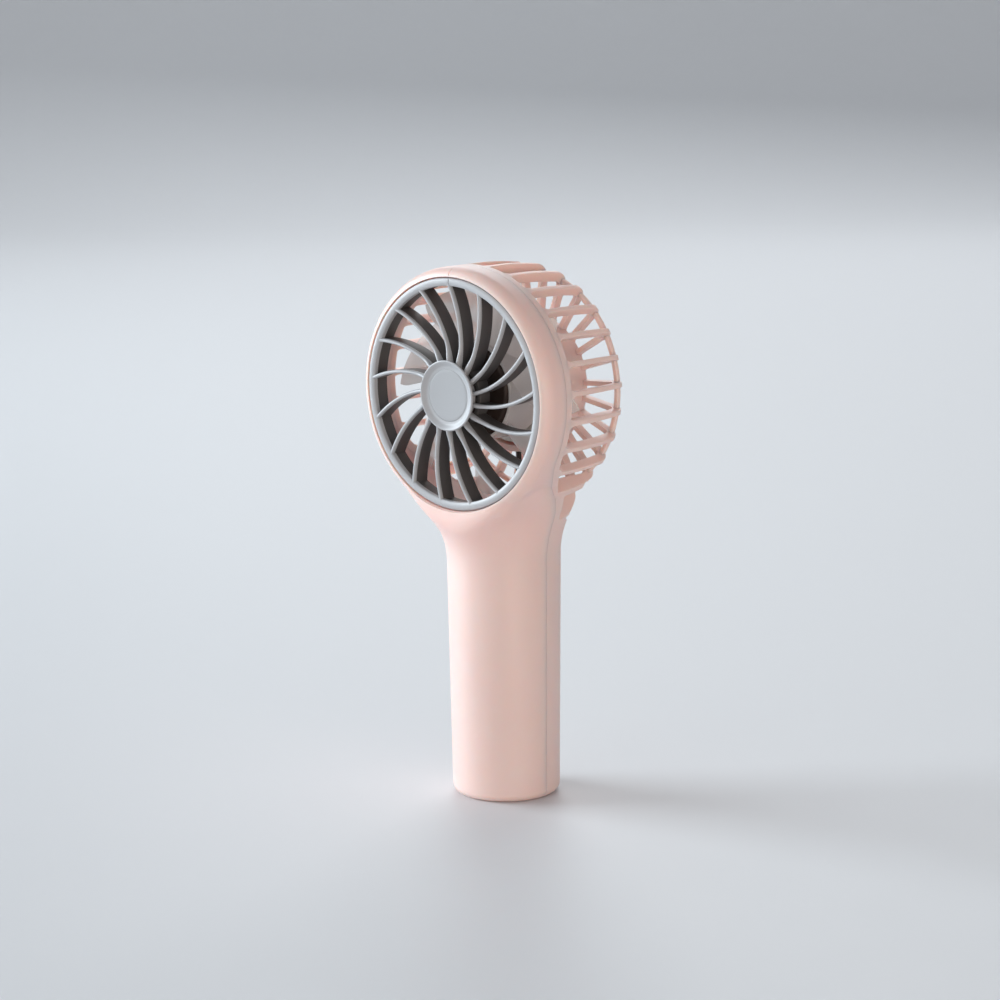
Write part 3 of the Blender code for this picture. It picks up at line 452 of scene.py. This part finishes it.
def index_mark(inner, outer, face):
    """A short groove at the top, across the lip or across the ring. The two meet when the grille is locked."""
    out = np.array([math.cos(FIRST_SPOKE), 0, math.sin(FIRST_SPOKE)])
    side = np.array([-math.sin(FIRST_SPOKE), 0, math.cos(FIRST_SPOKE)])
    back = np.array([0, 1, 0])
    radius = np.linspace(inner, outer, 8)
    spine = out * radius[:, None] + back * face(radius)[:, None] + (0, 0, HEAD_Z)
    section = np.array([(-0.24, -1.0), (0.24, -1.0), (0.12, 0.35), (-0.12, 0.35)])
    return build("mark", spine[:, None] + side * section[:, 0, None] + back * section[:, 1, None])


def lip_face(radius):
    """The y of the lip's round face, a quarter of a millimetre deep in it."""
    return HEAD_FRONT + HEAD_EDGE + 0.25 - np.sqrt(HEAD_EDGE**2 - (radius - HEAD_RADIUS + HEAD_EDGE) ** 2)


def ring_face(radius):
    """The y of the grey ring's flat face."""
    return np.full(len(radius), RING_FACE)


def slot_front(turn, radius=HEAD_RADIUS):
    """The cage opens a little behind the parting line."""
    return seam_y(HEAD_Z + radius * np.sin(turn)) + SLOT_BEHIND_SEAM


def bar_turn(index):
    """A bar's angle. Bar 0 would point straight down, and they are counted towards +x."""
    return math.radians(270) + FULL_TURN * np.asarray(index) / BAR_COUNT


def cage_space():
    """The open part of the cage, from one side of the neck over the top to the other. Its two end faces
    are moved aside by half a bar, so that they lie along the sides of bars."""
    turn = np.linspace(bar_turn(NECK_BARS), bar_turn(BAR_COUNT - NECK_BARS), 241)
    front = slot_front(turn)
    away = np.minimum(turn - turn[0], turn[-1] - turn)
    aside = np.sign(math.radians(450) - turn) * BAR_HALF * (1 - smoothstep(0, 0.3, away))
    inner, outer, back = 0 * turn + 16, 0 * turn + 46, 0 * turn + 30
    radius = np.stack([inner, outer, outer, inner], axis=1)
    y = np.stack([front, front, back, back], axis=1)
    x = radius * np.cos(turn)[:, None] - (aside * np.sin(turn))[:, None]
    z = HEAD_Z + radius * np.sin(turn)[:, None] + (aside * np.cos(turn))[:, None]
    return build("cage_space", np.stack([x, y, z], axis=-1))


def neck_slot(index, reach, neck_side):
    """A slot cut through the fillet beside the neck, between straight bars. Past its reach its front rises
    in a straight line until it runs out, and it ends sooner on the neck's side."""
    turn = float(bar_turn(index + 0.5))
    share = math.pi / BAR_COUNT
    levels = np.concatenate([np.linspace(POD_RADIUS + 0.4, reach, 12), reach + np.linspace(1, SLOT_RUN_OUT, 8)])
    front = slot_front(turn, levels) + SLOT_RISE * np.clip((levels - reach) / SLOT_RUN_OUT, 0, 1)
    skew_start, skew = 30, 4.5
    rows = []
    for level, start in zip(levels, front):
        half = level * math.tan(share) - BAR_HALF / math.cos(share)
        outline = rounded([(-half, start), (half, start), (half, 30), (-half, 30)], 1.1)
        sooner = np.clip((level - skew_start) / (reach - skew_start), 0, 1)
        out = level - skew * (sooner * (1 + neck_side * outline[:, 0] / half) / 2)
        x = out * math.cos(turn) - outline[:, 0] * math.sin(turn)
        z = HEAD_Z + out * math.sin(turn) + outline[:, 0] * math.cos(turn)
        rows.append(np.stack([x, outline[:, 1], z], axis=-1))
    return build("neck_slot", np.stack(rows))


def round_bar(x, z, radius, start, end, steps=40):
    """A round bar along y, to cut a hole or add a pad."""
    return spun_at("round_bar", [(0, start), (radius, start), (radius, end), (0, end)], x, z, steps)


def shell_rear():
    """Rear half of the shell without its bars: band, back of the neck and handle, with its openings and a
    round pad that gives the neck's screw hole a flat rim."""
    body = handle_surface("shell_rear")
    boolean(body, handle_hollow(), "DIFFERENCE")
    boolean(body, head_solid("head"), "UNION")
    pod_room = POD_RADIUS - 0.8
    chamber = [(0, PAST_BACK), (pod_room, PAST_BACK), (pod_room, CAGE_FLOOR), (28.6, CAGE_FLOOR)]
    chamber += [(30.2, 12.0), (31.0, 11.1), (DUCT_RADIUS, 9.8), (DUCT_RADIUS, PAST_FRONT), (0, PAST_FRONT)]
    boolean(body, spun("chamber", chamber), "DIFFERENCE")
    boolean(body, cage_space(), "DIFFERENCE")
    for index, reach in ((1, LOWEST_SLOT_REACH), (2, NEXT_SLOT_REACH)):
        boolean(body, neck_slot(index, reach, -1), "DIFFERENCE")
        boolean(body, neck_slot(BAR_COUNT - 1 - index, reach, 1), "DIFFERENCE")
    screws = [middle_of(node) for node in SCREW_NODES]
    boolean(body, round_bar(*screws[-1], SCREW_PAD_RADIUS, 12, SCREW_PAD_BACK, 64), "UNION")
    boolean(body, front_region("front", SEAM_HALF), "DIFFERENCE")
    for x, z in screws:
        boolean(body, round_bar(x, z, SCREW_HEAD_HOLE, 9, 22), "DIFFERENCE")
        boolean(body, round_bar(x, z, SCREW_BORE, -5, 12), "DIFFERENCE")
    boolean(body, round_bar(*middle_of("power_button"), BUTTON_HOLE, 9, 20, 64), "DIFFERENCE")
    boolean(body, round_bar(*middle_of("indicator_light"), LIGHT_HOLE, 9, 20), "DIFFERENCE")
    boolean(body, slot_cutter("usb_socket", SOCKET_GAP), "DIFFERENCE")
    return outer_normals(body)


def middle_of(node):
    """A node's middle, as x and z."""
    return (low(node, 0) + high(node, 0)) / 2, (low(node, 2) + high(node, 2)) / 2


def capsule(width, height, steps=16):
    """A flat outline with two straight sides and round ends."""
    swing = np.linspace(-QUARTER_TURN, QUARTER_TURN, steps)
    radius, reach = height / 2, (width - height) / 2
    right = np.stack([reach + radius * np.cos(swing), radius * np.sin(swing)], axis=-1)
    return np.concatenate([right, -right])


def flat_rows(x, z, levels):
    """Rows of points for outlines that each lie flat at their own y round the same middle."""
    return np.stack([
        np.stack([x + outline[:, 0], np.full(len(outline), y), z + outline[:, 1]], axis=-1)
        for outline, y in levels])


def slot_cutter(node, gap):
    """A cutter of the socket's outline with some room round it, through the wall."""
    x, z = middle_of(node)
    outline = capsule(high(node, 0) - low(node, 0) + 2 * gap, high(node, 2) - low(node, 2) + 2 * gap)
    return build("slot", flat_rows(x, z, [(outline, 9.0), (outline, 20.0)]))


def bar_line(start, count=14):
    """(radius, y) and outward direction along one bar: back along the band, round a bend, in to the pod."""
    back_y = HEAD_BACK - BAR_BEND
    side_y = np.linspace(start, back_y, count)
    side_radius = HEAD_RADIUS - head_taper(side_y)
    corner = side_radius[-1] - BAR_BEND
    swing = np.linspace(0, QUARTER_TURN, 12)[1:]
    round_bend = np.stack([np.cos(swing), np.sin(swing)], axis=-1)
    inward = np.linspace(corner, POD_RADIUS - 0.9, 12)[1:]
    line = np.concatenate([
        np.stack([side_radius, side_y], axis=-1),
        [corner, back_y] + BAR_BEND * round_bend,
        np.stack([inward, 0 * inward + HEAD_BACK], axis=-1)])
    out = np.concatenate([
        np.tile([1.0, 0.0], (count, 1)), round_bend, np.tile([0.0, 1.0], (len(inward), 1))])
    return line, out


def flare(share):
    """How far a root widens: one less the root of one less the share's square, a quarter of a circle."""
    return 1 - np.sqrt(1 - share**2)


def cage_bar(name, index):
    """One bar: a deep section with round outer edges, wider at its two roots, carried along its line. Its
    first end lies inside the band, half a millimetre under its face."""
    turn = float(bar_turn(index))
    line, out = bar_line(float(slot_front(turn)) - BAR_START)
    run = np.concatenate([[0], np.cumsum(np.linalg.norm(np.diff(line, axis=0), axis=1))])
    band_root = np.clip(1 - (run - BAR_START) / 1.3, 0, 1)
    pod_root = np.clip(1 - (run[-1] - run) / 1.6, 0, 1)
    on_back = smoothstep(0.1, 0.9, out[:, 1])
    half = (BAR_HALF + 0.1 * on_back + np.minimum(flare(band_root) + 0.5 * flare(pod_root), 1))[:, None]
    depth = (BAR_DEPTH - 0.3 * on_back)[:, None]
    lift = (BAR_PROUD - 0.5 * (1 - smoothstep(0.4, 1.5, run)))[:, None]
    swing = np.linspace(0, QUARTER_TURN, 5)
    across = np.concatenate([-np.sin(swing)[::-1], np.sin(swing)])
    fall = BAR_EDGE * (1 - np.cos(np.concatenate([swing[::-1], swing])))
    face = np.where(across < 0, -1, 1) * (half - BAR_EDGE) + BAR_EDGE * across
    width = np.concatenate([face, half * [0.86, 0.8, -0.8, -0.86]], axis=1)
    inner = np.concatenate([np.broadcast_to(fall, face.shape), depth - [0.25, 0.0, 0.0, 0.25]], axis=1)
    radius = line[:, 0, None] + out[:, 0, None] * (lift - inner)
    y = line[:, 1, None] - out[:, 1, None] * inner
    x = radius * math.cos(turn) - width * math.sin(turn)
    z = HEAD_Z + radius * math.sin(turn) + width * math.cos(turn)
    return build(name, np.stack([x, y, z], axis=-1))


def box_corners(inner, outer, front, back):
    """The four corners of an upright box in (radius, y)."""
    return [(inner, front), (outer, front), (outer, back), (inner, back)]


def cage():
    """The free bars and the thin hoop inside their bend."""
    bars = [cage_bar(f"bar_{i}", i) for i in range(NECK_BARS + 1, BAR_COUNT - NECK_BARS)]
    hoop = spun("hoop", rounded(box_corners(HOOP_INNER, HOOP_OUTER, HOOP_FRONT, HOOP_BACK), 0.35, 4))
    return smooth(join("cage_bars", bars + [hoop]))


def pod():
    """The round pod at the middle of the back: a shallow dish with a rounded rim and a deep wall."""
    dish = [(0, POD_FLOOR), (12.0, POD_FLOOR), (13.2, HEAD_BACK - 0.35), (14.6, HEAD_BACK - 0.05)]
    dish.append((15.4, HEAD_BACK))
    rim = quarter(POD_RADIUS - POD_RIM, HEAD_BACK - POD_RIM, POD_RIM, POD_RIM)
    wall = [(POD_RADIUS, POD_FRONT + 0.3), (POD_RADIUS - 0.3, POD_FRONT), (POD_RADIUS - 1.6, POD_FRONT)]
    wall += [(POD_RADIUS - 1.8, POD_FRONT + 0.2), (POD_RADIUS - 1.8, CAGE_FLOOR), (0, CAGE_FLOOR)]
    return smooth(spun("hub_pod", dish + rim + wall))


# ---------------------------------------------------------------- grille

def spoke_turn(index, radius):
    """A spoke's angle at a radius: it falls back in proportion to the way in from the ring."""
    return FIRST_SPOKE + FULL_TURN * index / SPOKE_COUNT - SPOKE_SWEEP * (RING_INNER - radius)


def swept(name, index, inner, outer, section, lift=None):
    """A section carried out along one curved spoke. It leans so that it stays square to the curve, and lift
    moves its front half forward."""
    radius = np.linspace(inner, outer, 26)
    turn = spoke_turn(index, radius)
    lean = turn + np.arctan(radius * SPOKE_SWEEP) + QUARTER_TURN
    section = np.array(section, float)
    rise = 0 * radius if lift is None else lift(radius)
    x = (radius * np.cos(turn))[:, None] + np.cos(lean)[:, None] * section[:, 0]
    z = HEAD_Z + (radius * np.sin(turn))[:, None] + np.sin(lean)[:, None] * section[:, 0]
    y = section[:, 1] - rise[:, None] * (section[:, 1] < section[:, 1].mean())
    return build(name, np.stack([x, y, z], axis=-1))


def boss_rise(radius):
    """How far a spoke climbs towards the front as it comes in to the boss."""
    return 0.9 * (1 - smoothstep(9.2, 14.0, radius))


def front_grille():
    """Grey ring, domed spokes and the raised boss, in one moulding."""
    swing = np.linspace(0, math.pi, 9)
    crown_radius = (RING_OUTER + RING_INNER) / 2 + (RING_OUTER - RING_INNER) / 2 * np.cos(swing)
    crown = np.stack([crown_radius, RING_FACE + 0.55 - 0.6 * np.sin(swing) ** 0.8], axis=-1)
    ring = spun("ring", np.concatenate([[(RING_OUTER, RING_REAR)], crown, [(RING_INNER, RING_REAR)]]))
    boolean(ring, index_mark(30.0, 31.5, ring_face), "DIFFERENCE")
    dome = np.stack([-0.54 * np.cos(swing), RING_FACE + 0.6 - 0.62 * np.sin(swing)], axis=-1)
    spoke = np.concatenate([dome, [(0.5, RING_FACE + 0.95), (-0.5, RING_FACE + 0.95)]])
    spokes = [swept(f"spoke_{i}", i, 7.9, RING_INNER + 0.5, spoke, boss_rise) for i in range(SPOKE_COUNT)]
    under = [(0, RING_REAR), (7.6, RING_REAR), (7.8, -20.2)]
    edge = [(9.62, 0.6), (9.7, 0.35), (9.68, 0.2), (9.6, 0.09), (9.45, 0.02)]
    dish = [(9.35, 0), (9.2, 0.06), (8.95, 0.2), (8.65, 0.42), (8.35, 0.62), (8.1, 0.78), (7.8, 0.88)]
    dish += [(7.15, 0.9), (7.15, 1.5), (0, 1.5)]
    face = [(radius, BOSS_FACE + depth) for radius, depth in edge + dish]
    return smooth(join("grille_face", [ring] + spokes + [spun("boss", under + face)]))


def boss_disc():
    """The disc in the boss, very slightly dished."""
    face, rear = BOSS_FACE + 0.88, high("centre_badge", 1)
    profile = [(0, face + 0.08), (4.5, face + 0.05), (6.3, face + 0.01)]
    profile += quarter(7.02, face + 0.1, 0.1, -0.1, 5) + [(7.1, rear), (0, rear)]
    return smooth(spun("boss_disc", profile, 144))


def vane_ring():
    """Dark vanes behind the spokes, held by an outer and an inner ring."""
    outer = spun("outer", rounded(box_corners(29.9, 31.0, VANE_FRONT, VANE_REAR), 0.2, 3))
    inner = spun("inner", rounded(box_corners(8.0, 9.2, VANE_FRONT, VANE_REAR), 0.2, 3), 96)
    front, back = RING_FACE + 0.9, VANE_REAR - 0.1
    vane = rounded([(-0.46, front), (0.46, front), (0.34, back), (-0.34, back)], 0.2, 3)
    vanes = [swept(f"vane_{i}", i, 8.8, 30.3, vane) for i in range(SPOKE_COUNT)]
    return smooth(join("vane_ring", [outer, inner] + vanes))


# ---------------------------------------------------------------- rotor

def blade(name, index):
    """One blade. Its chord grows outwards like a sine and its pitch falls steadily. Its middle surface bows
    like half a sine wave, and its thickness along the chord is a half ellipse. The chord is then turned by
    the pitch and wrapped round the axis."""
    across, along = np.meshgrid(np.linspace(0, 1, 20), np.linspace(0, 1, 18), indexing="ij")
    radius = BLADE_ROOT + (BLADE_TIP - BLADE_ROOT) * across
    pitch = np.radians(50 - 20 * across)
    trim = 1 - 0.5 * np.maximum(across - 0.72, 0) ** 1.5
    reach = (along - 0.5) * ((13 + 9 * np.sin(QUARTER_TURN * across)) * trim)
    camber = 1.3 * np.sin(math.pi * along)
    thick = 0.12 + 0.85 * np.sqrt(np.clip(along * (1 - along) * 4, 0, 1)) * (1 - 0.35 * across)

    def side(sign):
        off = camber + sign * thick / 2
        around = reach * np.cos(pitch) + off * np.sin(pitch)
        back = reach * np.sin(pitch) - off * np.cos(pitch)
        turn = FULL_TURN * index / BLADE_COUNT - around / radius + math.radians(10) * across
        return np.stack([radius * np.cos(turn), BLADE_MIDDLE_Y + back, HEAD_Z + radius * np.sin(turn)], axis=-1)

    return build(name, np.concatenate([side(1), side(-1)[:, ::-1]], axis=1))


def fan_rotor():
    """Blades on their hub ring, moulded in one clear plastic."""
    ring = rounded(box_corners(CAN_RADIUS + 0.3, HUB_RADIUS, CAN_FRONT + 0.25, CAN_REAR - 0.4), 0.3, 4)
    pieces = [spun("ring", ring, 144)] + [blade(f"blade_{i}", i) for i in range(BLADE_COUNT)]
    return smooth(join("fan_blades", pieces), 50)


def motor_cup():
    """The rotor's cup: a round shell with a soft front edge, open to the rear."""
    edge, inner, floor = 1.2, CAN_RADIUS - 0.9, CAN_FRONT + 1.3
    dimple = [(0, CAN_FRONT + 0.5), (1.6, CAN_FRONT + 0.5), (2.2, CAN_FRONT + 0.1), (2.8, CAN_FRONT)]
    profile = dimple + quarter(CAN_RADIUS - edge, CAN_FRONT + edge, edge, -edge)
    profile += [(CAN_RADIUS, CAN_REAR), (inner, CAN_REAR), (inner, floor), (1.3, floor), (0, floor)]
    return smooth(spun("motor_cup", profile, 144))


# ---------------------------------------------------------------- small pieces on the rear

def button_cap():
    """The push button: a shallow dish with a rounded edge on a wider flange."""
    x, z = middle_of("power_button")
    face, rear = high("power_button", 1), low("power_button", 1)
    profile = [(0, face - 0.45), (1.8, face - 0.36), (3.0, face - 0.12)] + quarter(3.8, face - 0.6, 0.6, 0.6)
    profile += [(4.4, rear + 0.8), (5.6, rear + 0.8), (5.6, rear), (0, rear)]
    return smooth(spun_at("button_cap", profile, x, z, 96))


def light_lens():
    """The end of the light pipe: a short rod with a low dome."""
    x, z = middle_of("indicator_light")
    face, rear = high("indicator_light", 1), low("indicator_light", 1)
    profile = quarter(0, face - 0.4, 1.0, 0.4, 6) + [(1.0, rear), (0, rear)]
    return smooth(spun_at("light_lens", profile, x, z, 48))


def screw_piece(name, node):
    """A pan-head screw with a cross recess."""
    x, z = middle_of(node)
    tip, top = low(node, 1), high(node, 1)
    head, shank, under = 1.9, 0.95, top - 1.5
    profile = quarter(0, top - 0.7, head, 0.7, 6)
    profile += [(head, under), (shank, under), (shank, tip + 0.8), (0, tip)]
    screw = spun_at(name, profile, x, z, 48)
    for turn in (CROSS_TURN, CROSS_TURN + QUARTER_TURN):
        out = np.array([math.cos(turn), 0, math.sin(turn)])
        side = np.array([-math.sin(turn), 0, math.cos(turn)])
        corners = np.array([(-1, -0.24), (1, -0.24), (1, 0.24), (-1, 0.24)])
        flat = np.array([x, 0, z]) + corners[:, :1] * 1.15 * out + corners[:, 1:] * side
        cross = build("cross", np.stack([flat + (0, top - 0.75, 0), flat + (0, top + 1, 0)]))
        boolean(screw, cross, "DIFFERENCE")
    return smooth(screw)


def socket_shell():
    """The socket's metal shell: a rounded tube with a closed floor."""
    x, z = middle_of("usb_socket")
    rear, front = low("usb_socket", 1), high("usb_socket", 1)
    width, height = high("usb_socket", 0) - low("usb_socket", 0), high("usb_socket", 2) - low("usb_socket", 2)
    outer, lip, inner = (capsule(width - trim, height - trim) for trim in (0, 0.16, 0.64))
    levels = [(outer, rear), (outer, front - 0.1), (lip, front), (inner, front - 0.06), (inner, rear + 0.6)]
    return smooth(build("socket_shell", flat_rows(x, z, levels)), 40)


# ---------------------------------------------------------------- finishes

def linear(level):
    """A display level from 0 to 255 as a linear share, by the usual screen curve."""
    share = level / 255
    return share / 12.92 if share <= 0.04045 else ((share + 0.055) / 1.055) ** 2.4


def colour(rgb):
    """Display levels as a linear colour with full cover."""
    return tuple(linear(level) for level in rgb) + (1.0,)


def add_node(tree, kind, **values):
    """A new shader node with its settings."""
    node = tree.nodes.new(kind)
    for name, value in values.items():
        setattr(node, name, value)
    return node


def grain_group():
    """Moulded grain: a fine height, a broad tone from 0 to 1, and a roughness that wanders with both."""
    tree = bpy.data.node_groups.new("moulded_grain", "ShaderNodeTree")
    sockets = tree.interface
    for name, value in (("Grain Scale", 2600.0), ("Tone Scale", 60.0), ("Roughness", 0.4), ("Wander", 0.06)):
        sockets.new_socket(name, in_out="INPUT", socket_type="NodeSocketFloat").default_value = value
    for name in ("Height", "Tone", "Roughness"):
        sockets.new_socket(name, in_out="OUTPUT", socket_type="NodeSocketFloat")
    entry, leave = add_node(tree, "NodeGroupInput"), add_node(tree, "NodeGroupOutput")
    place = add_node(tree, "ShaderNodeTexCoord")
    grain, tone = add_node(tree, "ShaderNodeTexNoise"), add_node(tree, "ShaderNodeTexNoise")
    grain.inputs["Detail"].default_value = 2
    tone.inputs["Detail"].default_value = 3
    link = tree.links.new
    for noise, scale in ((grain, "Grain Scale"), (tone, "Tone Scale")):
        link(place.outputs["Object"], noise.inputs["Vector"])
        link(entry.outputs[scale], noise.inputs["Scale"])
    centred = add_node(tree, "ShaderNodeMath", operation="SUBTRACT")
    centred.inputs[1].default_value = 0.5
    link(tone.outputs["Fac"], centred.inputs[0])
    spread = add_node(tree, "ShaderNodeMath", operation="MULTIPLY_ADD")
    link(centred.outputs[0], spread.inputs[0])
    link(entry.outputs["Wander"], spread.inputs[1])
    link(entry.outputs["Roughness"], spread.inputs[2])
    link(grain.outputs["Fac"], leave.inputs["Height"])
    link(tone.outputs["Fac"], leave.inputs["Tone"])
    link(spread.outputs[0], leave.inputs["Roughness"])
    return tree


def finish(name, rgb, roughness, metallic=0.0, shift=0.04, grain=2600.0, depth=0.00001, **sockets):
    """A finish with the moulded grain: its colour wanders a little, and its surface has a fine height."""
    made = bpy.data.materials.new(name)
    made.use_nodes = True
    tree = made.node_tree
    shader = tree.nodes["Principled BSDF"]
    group = add_node(tree, "ShaderNodeGroup", node_tree=GRAIN)
    group.inputs["Grain Scale"].default_value = grain
    group.inputs["Roughness"].default_value = roughness
    mix = add_node(tree, "ShaderNodeMix", data_type="RGBA")
    mix.inputs[6].default_value = colour([level * (1 - shift) for level in rgb])
    mix.inputs[7].default_value = colour([min(level * (1 + shift), 255) for level in rgb])
    bump = add_node(tree, "ShaderNodeBump")
    bump.inputs["Strength"].default_value = 0.35
    bump.inputs["Distance"].default_value = depth
    link = tree.links.new
    link(group.outputs["Tone"], mix.inputs[0])
    link(mix.outputs[2], shader.inputs["Base Color"])
    link(group.outputs["Roughness"], shader.inputs["Roughness"])
    link(group.outputs["Height"], bump.inputs["Height"])
    link(bump.outputs["Normal"], shader.inputs["Normal"])
    shader.inputs["Metallic"].default_value = metallic
    for socket, value in sockets.items():
        shader.inputs[socket.replace("_", " ")].default_value = value
    return made


GRAIN = grain_group()
FINISHES = {
    "pink_shell": finish(
        "pink_satin_plastic", (236, 203, 196), 0.42, shift=0.012, Subsurface_Weight=0.5, Subsurface_Scale=0.005,
        Subsurface_Radius=(1.0, 0.5, 0.35), Coat_Weight=0.3, Coat_Roughness=0.5),
    "grille_grey": finish("grey_satin_plastic", (166, 168, 172), 0.36, shift=0.012),
    "satin_grey": finish("grey_disc", (154, 156, 160), 0.42, shift=0.01, grain=1500.0),
    "charcoal": finish("charcoal_plastic", (74, 72, 72), 0.5, shift=0.05),
    "clear_blade": finish("clear_blade_plastic", (252, 247, 244), 0.22, shift=0.008, Alpha=0.55, IOR=1.46),
    "black_steel": finish("black_steel", (66, 52, 46), 0.42, 0.4, shift=0.08),
    "bright_steel": finish("bright_steel", (190, 190, 192), 0.25, 1.0, grain=1400.0),
    "screw_steel": finish("screw_steel", (128, 128, 130), 0.34, 1.0, grain=1400.0),
    "magnet": finish("ferrite", (54, 54, 56), 0.6, shift=0.1),
    "copper": finish("copper_winding", (196, 112, 62), 0.35, 1.0, shift=0.1, grain=5200.0, depth=0.00004),
    "lamination": finish("laminations", (122, 124, 128), 0.45, 1.0, shift=0.08),
    "white_plastic": finish("white_plastic", (226, 226, 222), 0.5),
    "green_board": finish("board_green", (34, 92, 58), 0.35, shift=0.12, grain=900.0),
    "black_epoxy": finish("black_epoxy", (30, 30, 32), 0.5),
    "cell_wrap": finish("cell_wrap", (70, 110, 160), 0.3, shift=0.02),
    "nickel": finish("nickel_strip", (186, 184, 178), 0.3, 1.0),
    "foam": finish("foam", (70, 70, 72), 0.9, shift=0.2, grain=1800.0, depth=0.0002),
    "red_wire": finish("red_wire", (178, 32, 30), 0.42),
    "black_wire": finish("black_wire", (28, 28, 30), 0.42),
    "led": finish("lamp_body", (240, 238, 200), 0.3),
}


def wear(obj, body, slot, *nodes):
    """Gives a piece its finish, the body it moves with and the frame's pieces that it stands for."""
    obj.data.materials.clear()
    obj.data.materials.append(FINISHES[slot])
    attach(obj, body)
    if nodes:
        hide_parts(*nodes)


def paint_frame():
    """Every piece of the frame takes the finish of its own slot."""
    for entry in frame["record"]["subparts"]:
        slots = NODES[entry["node"]].material_slots
        for place in slots:
            place.material = FINISHES[entry["material_slot"]]


# ---------------------------------------------------------------- stage

def place_camera():
    """The camera looks at the middle of the object, from 43 degrees round and 11 degrees above its front.
    It is rolled a little, and set a little left of and above that line."""
    azimuth, elevation, roll = np.radians([42.6588, 10.8362, -0.6976]).tolist()
    target, distance, left, raised = Vector((0, 0, 75)), 836.3751, 0.9863, 8.0977
    level = math.cos(elevation)
    back = Vector((math.sin(azimuth) * level, -math.cos(azimuth) * level, math.sin(elevation)))
    side = Vector((math.cos(azimuth), math.sin(azimuth), 0))
    up = back.cross(side)
    right = side * math.cos(roll) + up * math.sin(roll)
    top = up * math.cos(roll) - side * math.sin(roll)
    spot = target + back * distance - right * left + top * raised
    data = bpy.data.cameras.new("camera")
    data.lens = 108
    data.sensor_width = 36
    data.clip_end = 20
    camera = bpy.data.objects.new("camera", data)
    bpy.context.scene.collection.objects.link(camera)
    turn = Matrix((right, top, back)).transposed().to_4x4()
    camera.matrix_world = Matrix.Translation(spot * MM) @ turn
    bpy.context.scene.camera = camera


def soft_light(name, spot, size, power, tint, aim=(0, 0, 0.09)):
    """A rectangular light at a spot in metres, turned towards its aim."""
    data = bpy.data.lights.new(name, "AREA")
    data.shape = "RECTANGLE"
    data.size, data.size_y = size
    data.energy = power
    data.color = tint
    lamp = bpy.data.objects.new(name, data)
    bpy.context.scene.collection.objects.link(lamp)
    lamp.location = spot
    lamp.rotation_euler = (Vector(aim) - Vector(spot)).to_track_quat("-Z", "Y").to_euler()


def pale_floor():
    """A floor that runs away from the camera, curves up by a quarter of a circle and ends as a wall. It is
    laid out in metres as (distance away, height), then carried from side to side."""
    swing = np.linspace(0, QUARTER_TURN, 24)
    near, bend, curve, top, half_width = -2.5, 1.6, 1.0, 4.0, 4.0
    rounding = np.stack([bend + curve * np.sin(swing), curve - curve * np.cos(swing)], axis=-1)
    run = np.concatenate([[(near, 0.0), (bend, 0.0)], rounding, [(bend + curve, top)]])
    view = math.radians(42.66)
    away = np.array([-math.sin(view), math.cos(view)])
    aside = np.array([math.cos(view), math.sin(view)])
    flat = away * run[:, :1]
    sides = [
        np.stack([flat[:, 0] + aside[0] * width, flat[:, 1] + aside[1] * width, run[:, 1]], axis=-1)
        for width in (-half_width, half_width)]
    floor = build("floor", np.stack(sides, axis=1) / MM, wrap=False, caps=False)
    smooth(floor)
    floor.data.materials.append(finish("pale_floor", (214, 216, 219), 0.5, shift=0.004, grain=300.0))
    return floor


def stage():
    """The pale floor, and soft light: a wide window on the left, a weaker one behind, and two faint fills."""
    pale_floor()
    world = bpy.data.worlds.new("world")
    world.use_nodes = True
    background = world.node_tree.nodes["Background"]
    background.inputs["Color"].default_value = (0.95, 0.96, 1.0, 1)
    background.inputs["Strength"].default_value = 0.38
    bpy.context.scene.world = world
    soft_light("window_left", (-1.42, -0.72, 0.42), (1.1, 1.2), 43, (0.86, 0.95, 1.0))
    soft_light("window_back", (-0.9, 1.3, 0.9), (1.2, 1.0), 9, (0.97, 0.99, 1.0))
    soft_light("room_front", (0.1, -1.5, 0.25), (1.2, 0.7), 3.2, (1.0, 0.96, 0.92))
    soft_light("warm_room", (1.2, -0.6, 0.1), (0.8, 0.4), 7.5, (1.0, 0.84, 0.7), (0, 0, 0.03))
    bpy.context.scene.view_settings.view_transform = "Standard"


place_camera()
paint_frame()
wear(shell_front(), "body", "pink_shell", "front_housing")
wear(shell_rear(), "body", "pink_shell", "rear_housing")
wear(cage(), "body", "pink_shell")
wear(pod(), "body", "pink_shell")
wear(front_grille(), "grille", "grille_grey", "front_grille")
wear(boss_disc(), "grille", "satin_grey", "centre_badge")
wear(vane_ring(), "grille", "charcoal", "vane_insert")
wear(fan_rotor(), "rotor", "clear_blade", "impeller")
wear(motor_cup(), "rotor", "black_steel", "rotor_can")
wear(button_cap(), "button", "grille_grey", "power_button")
wear(light_lens(), "body", "clear_blade", "indicator_light")
wear(socket_shell(), "body", "bright_steel", "usb_socket")
for number, node in enumerate(SCREW_NODES, 1):
    wear(screw_piece(f"shell_screw_{number}", node), "body", "screw_steel", node)
stage()
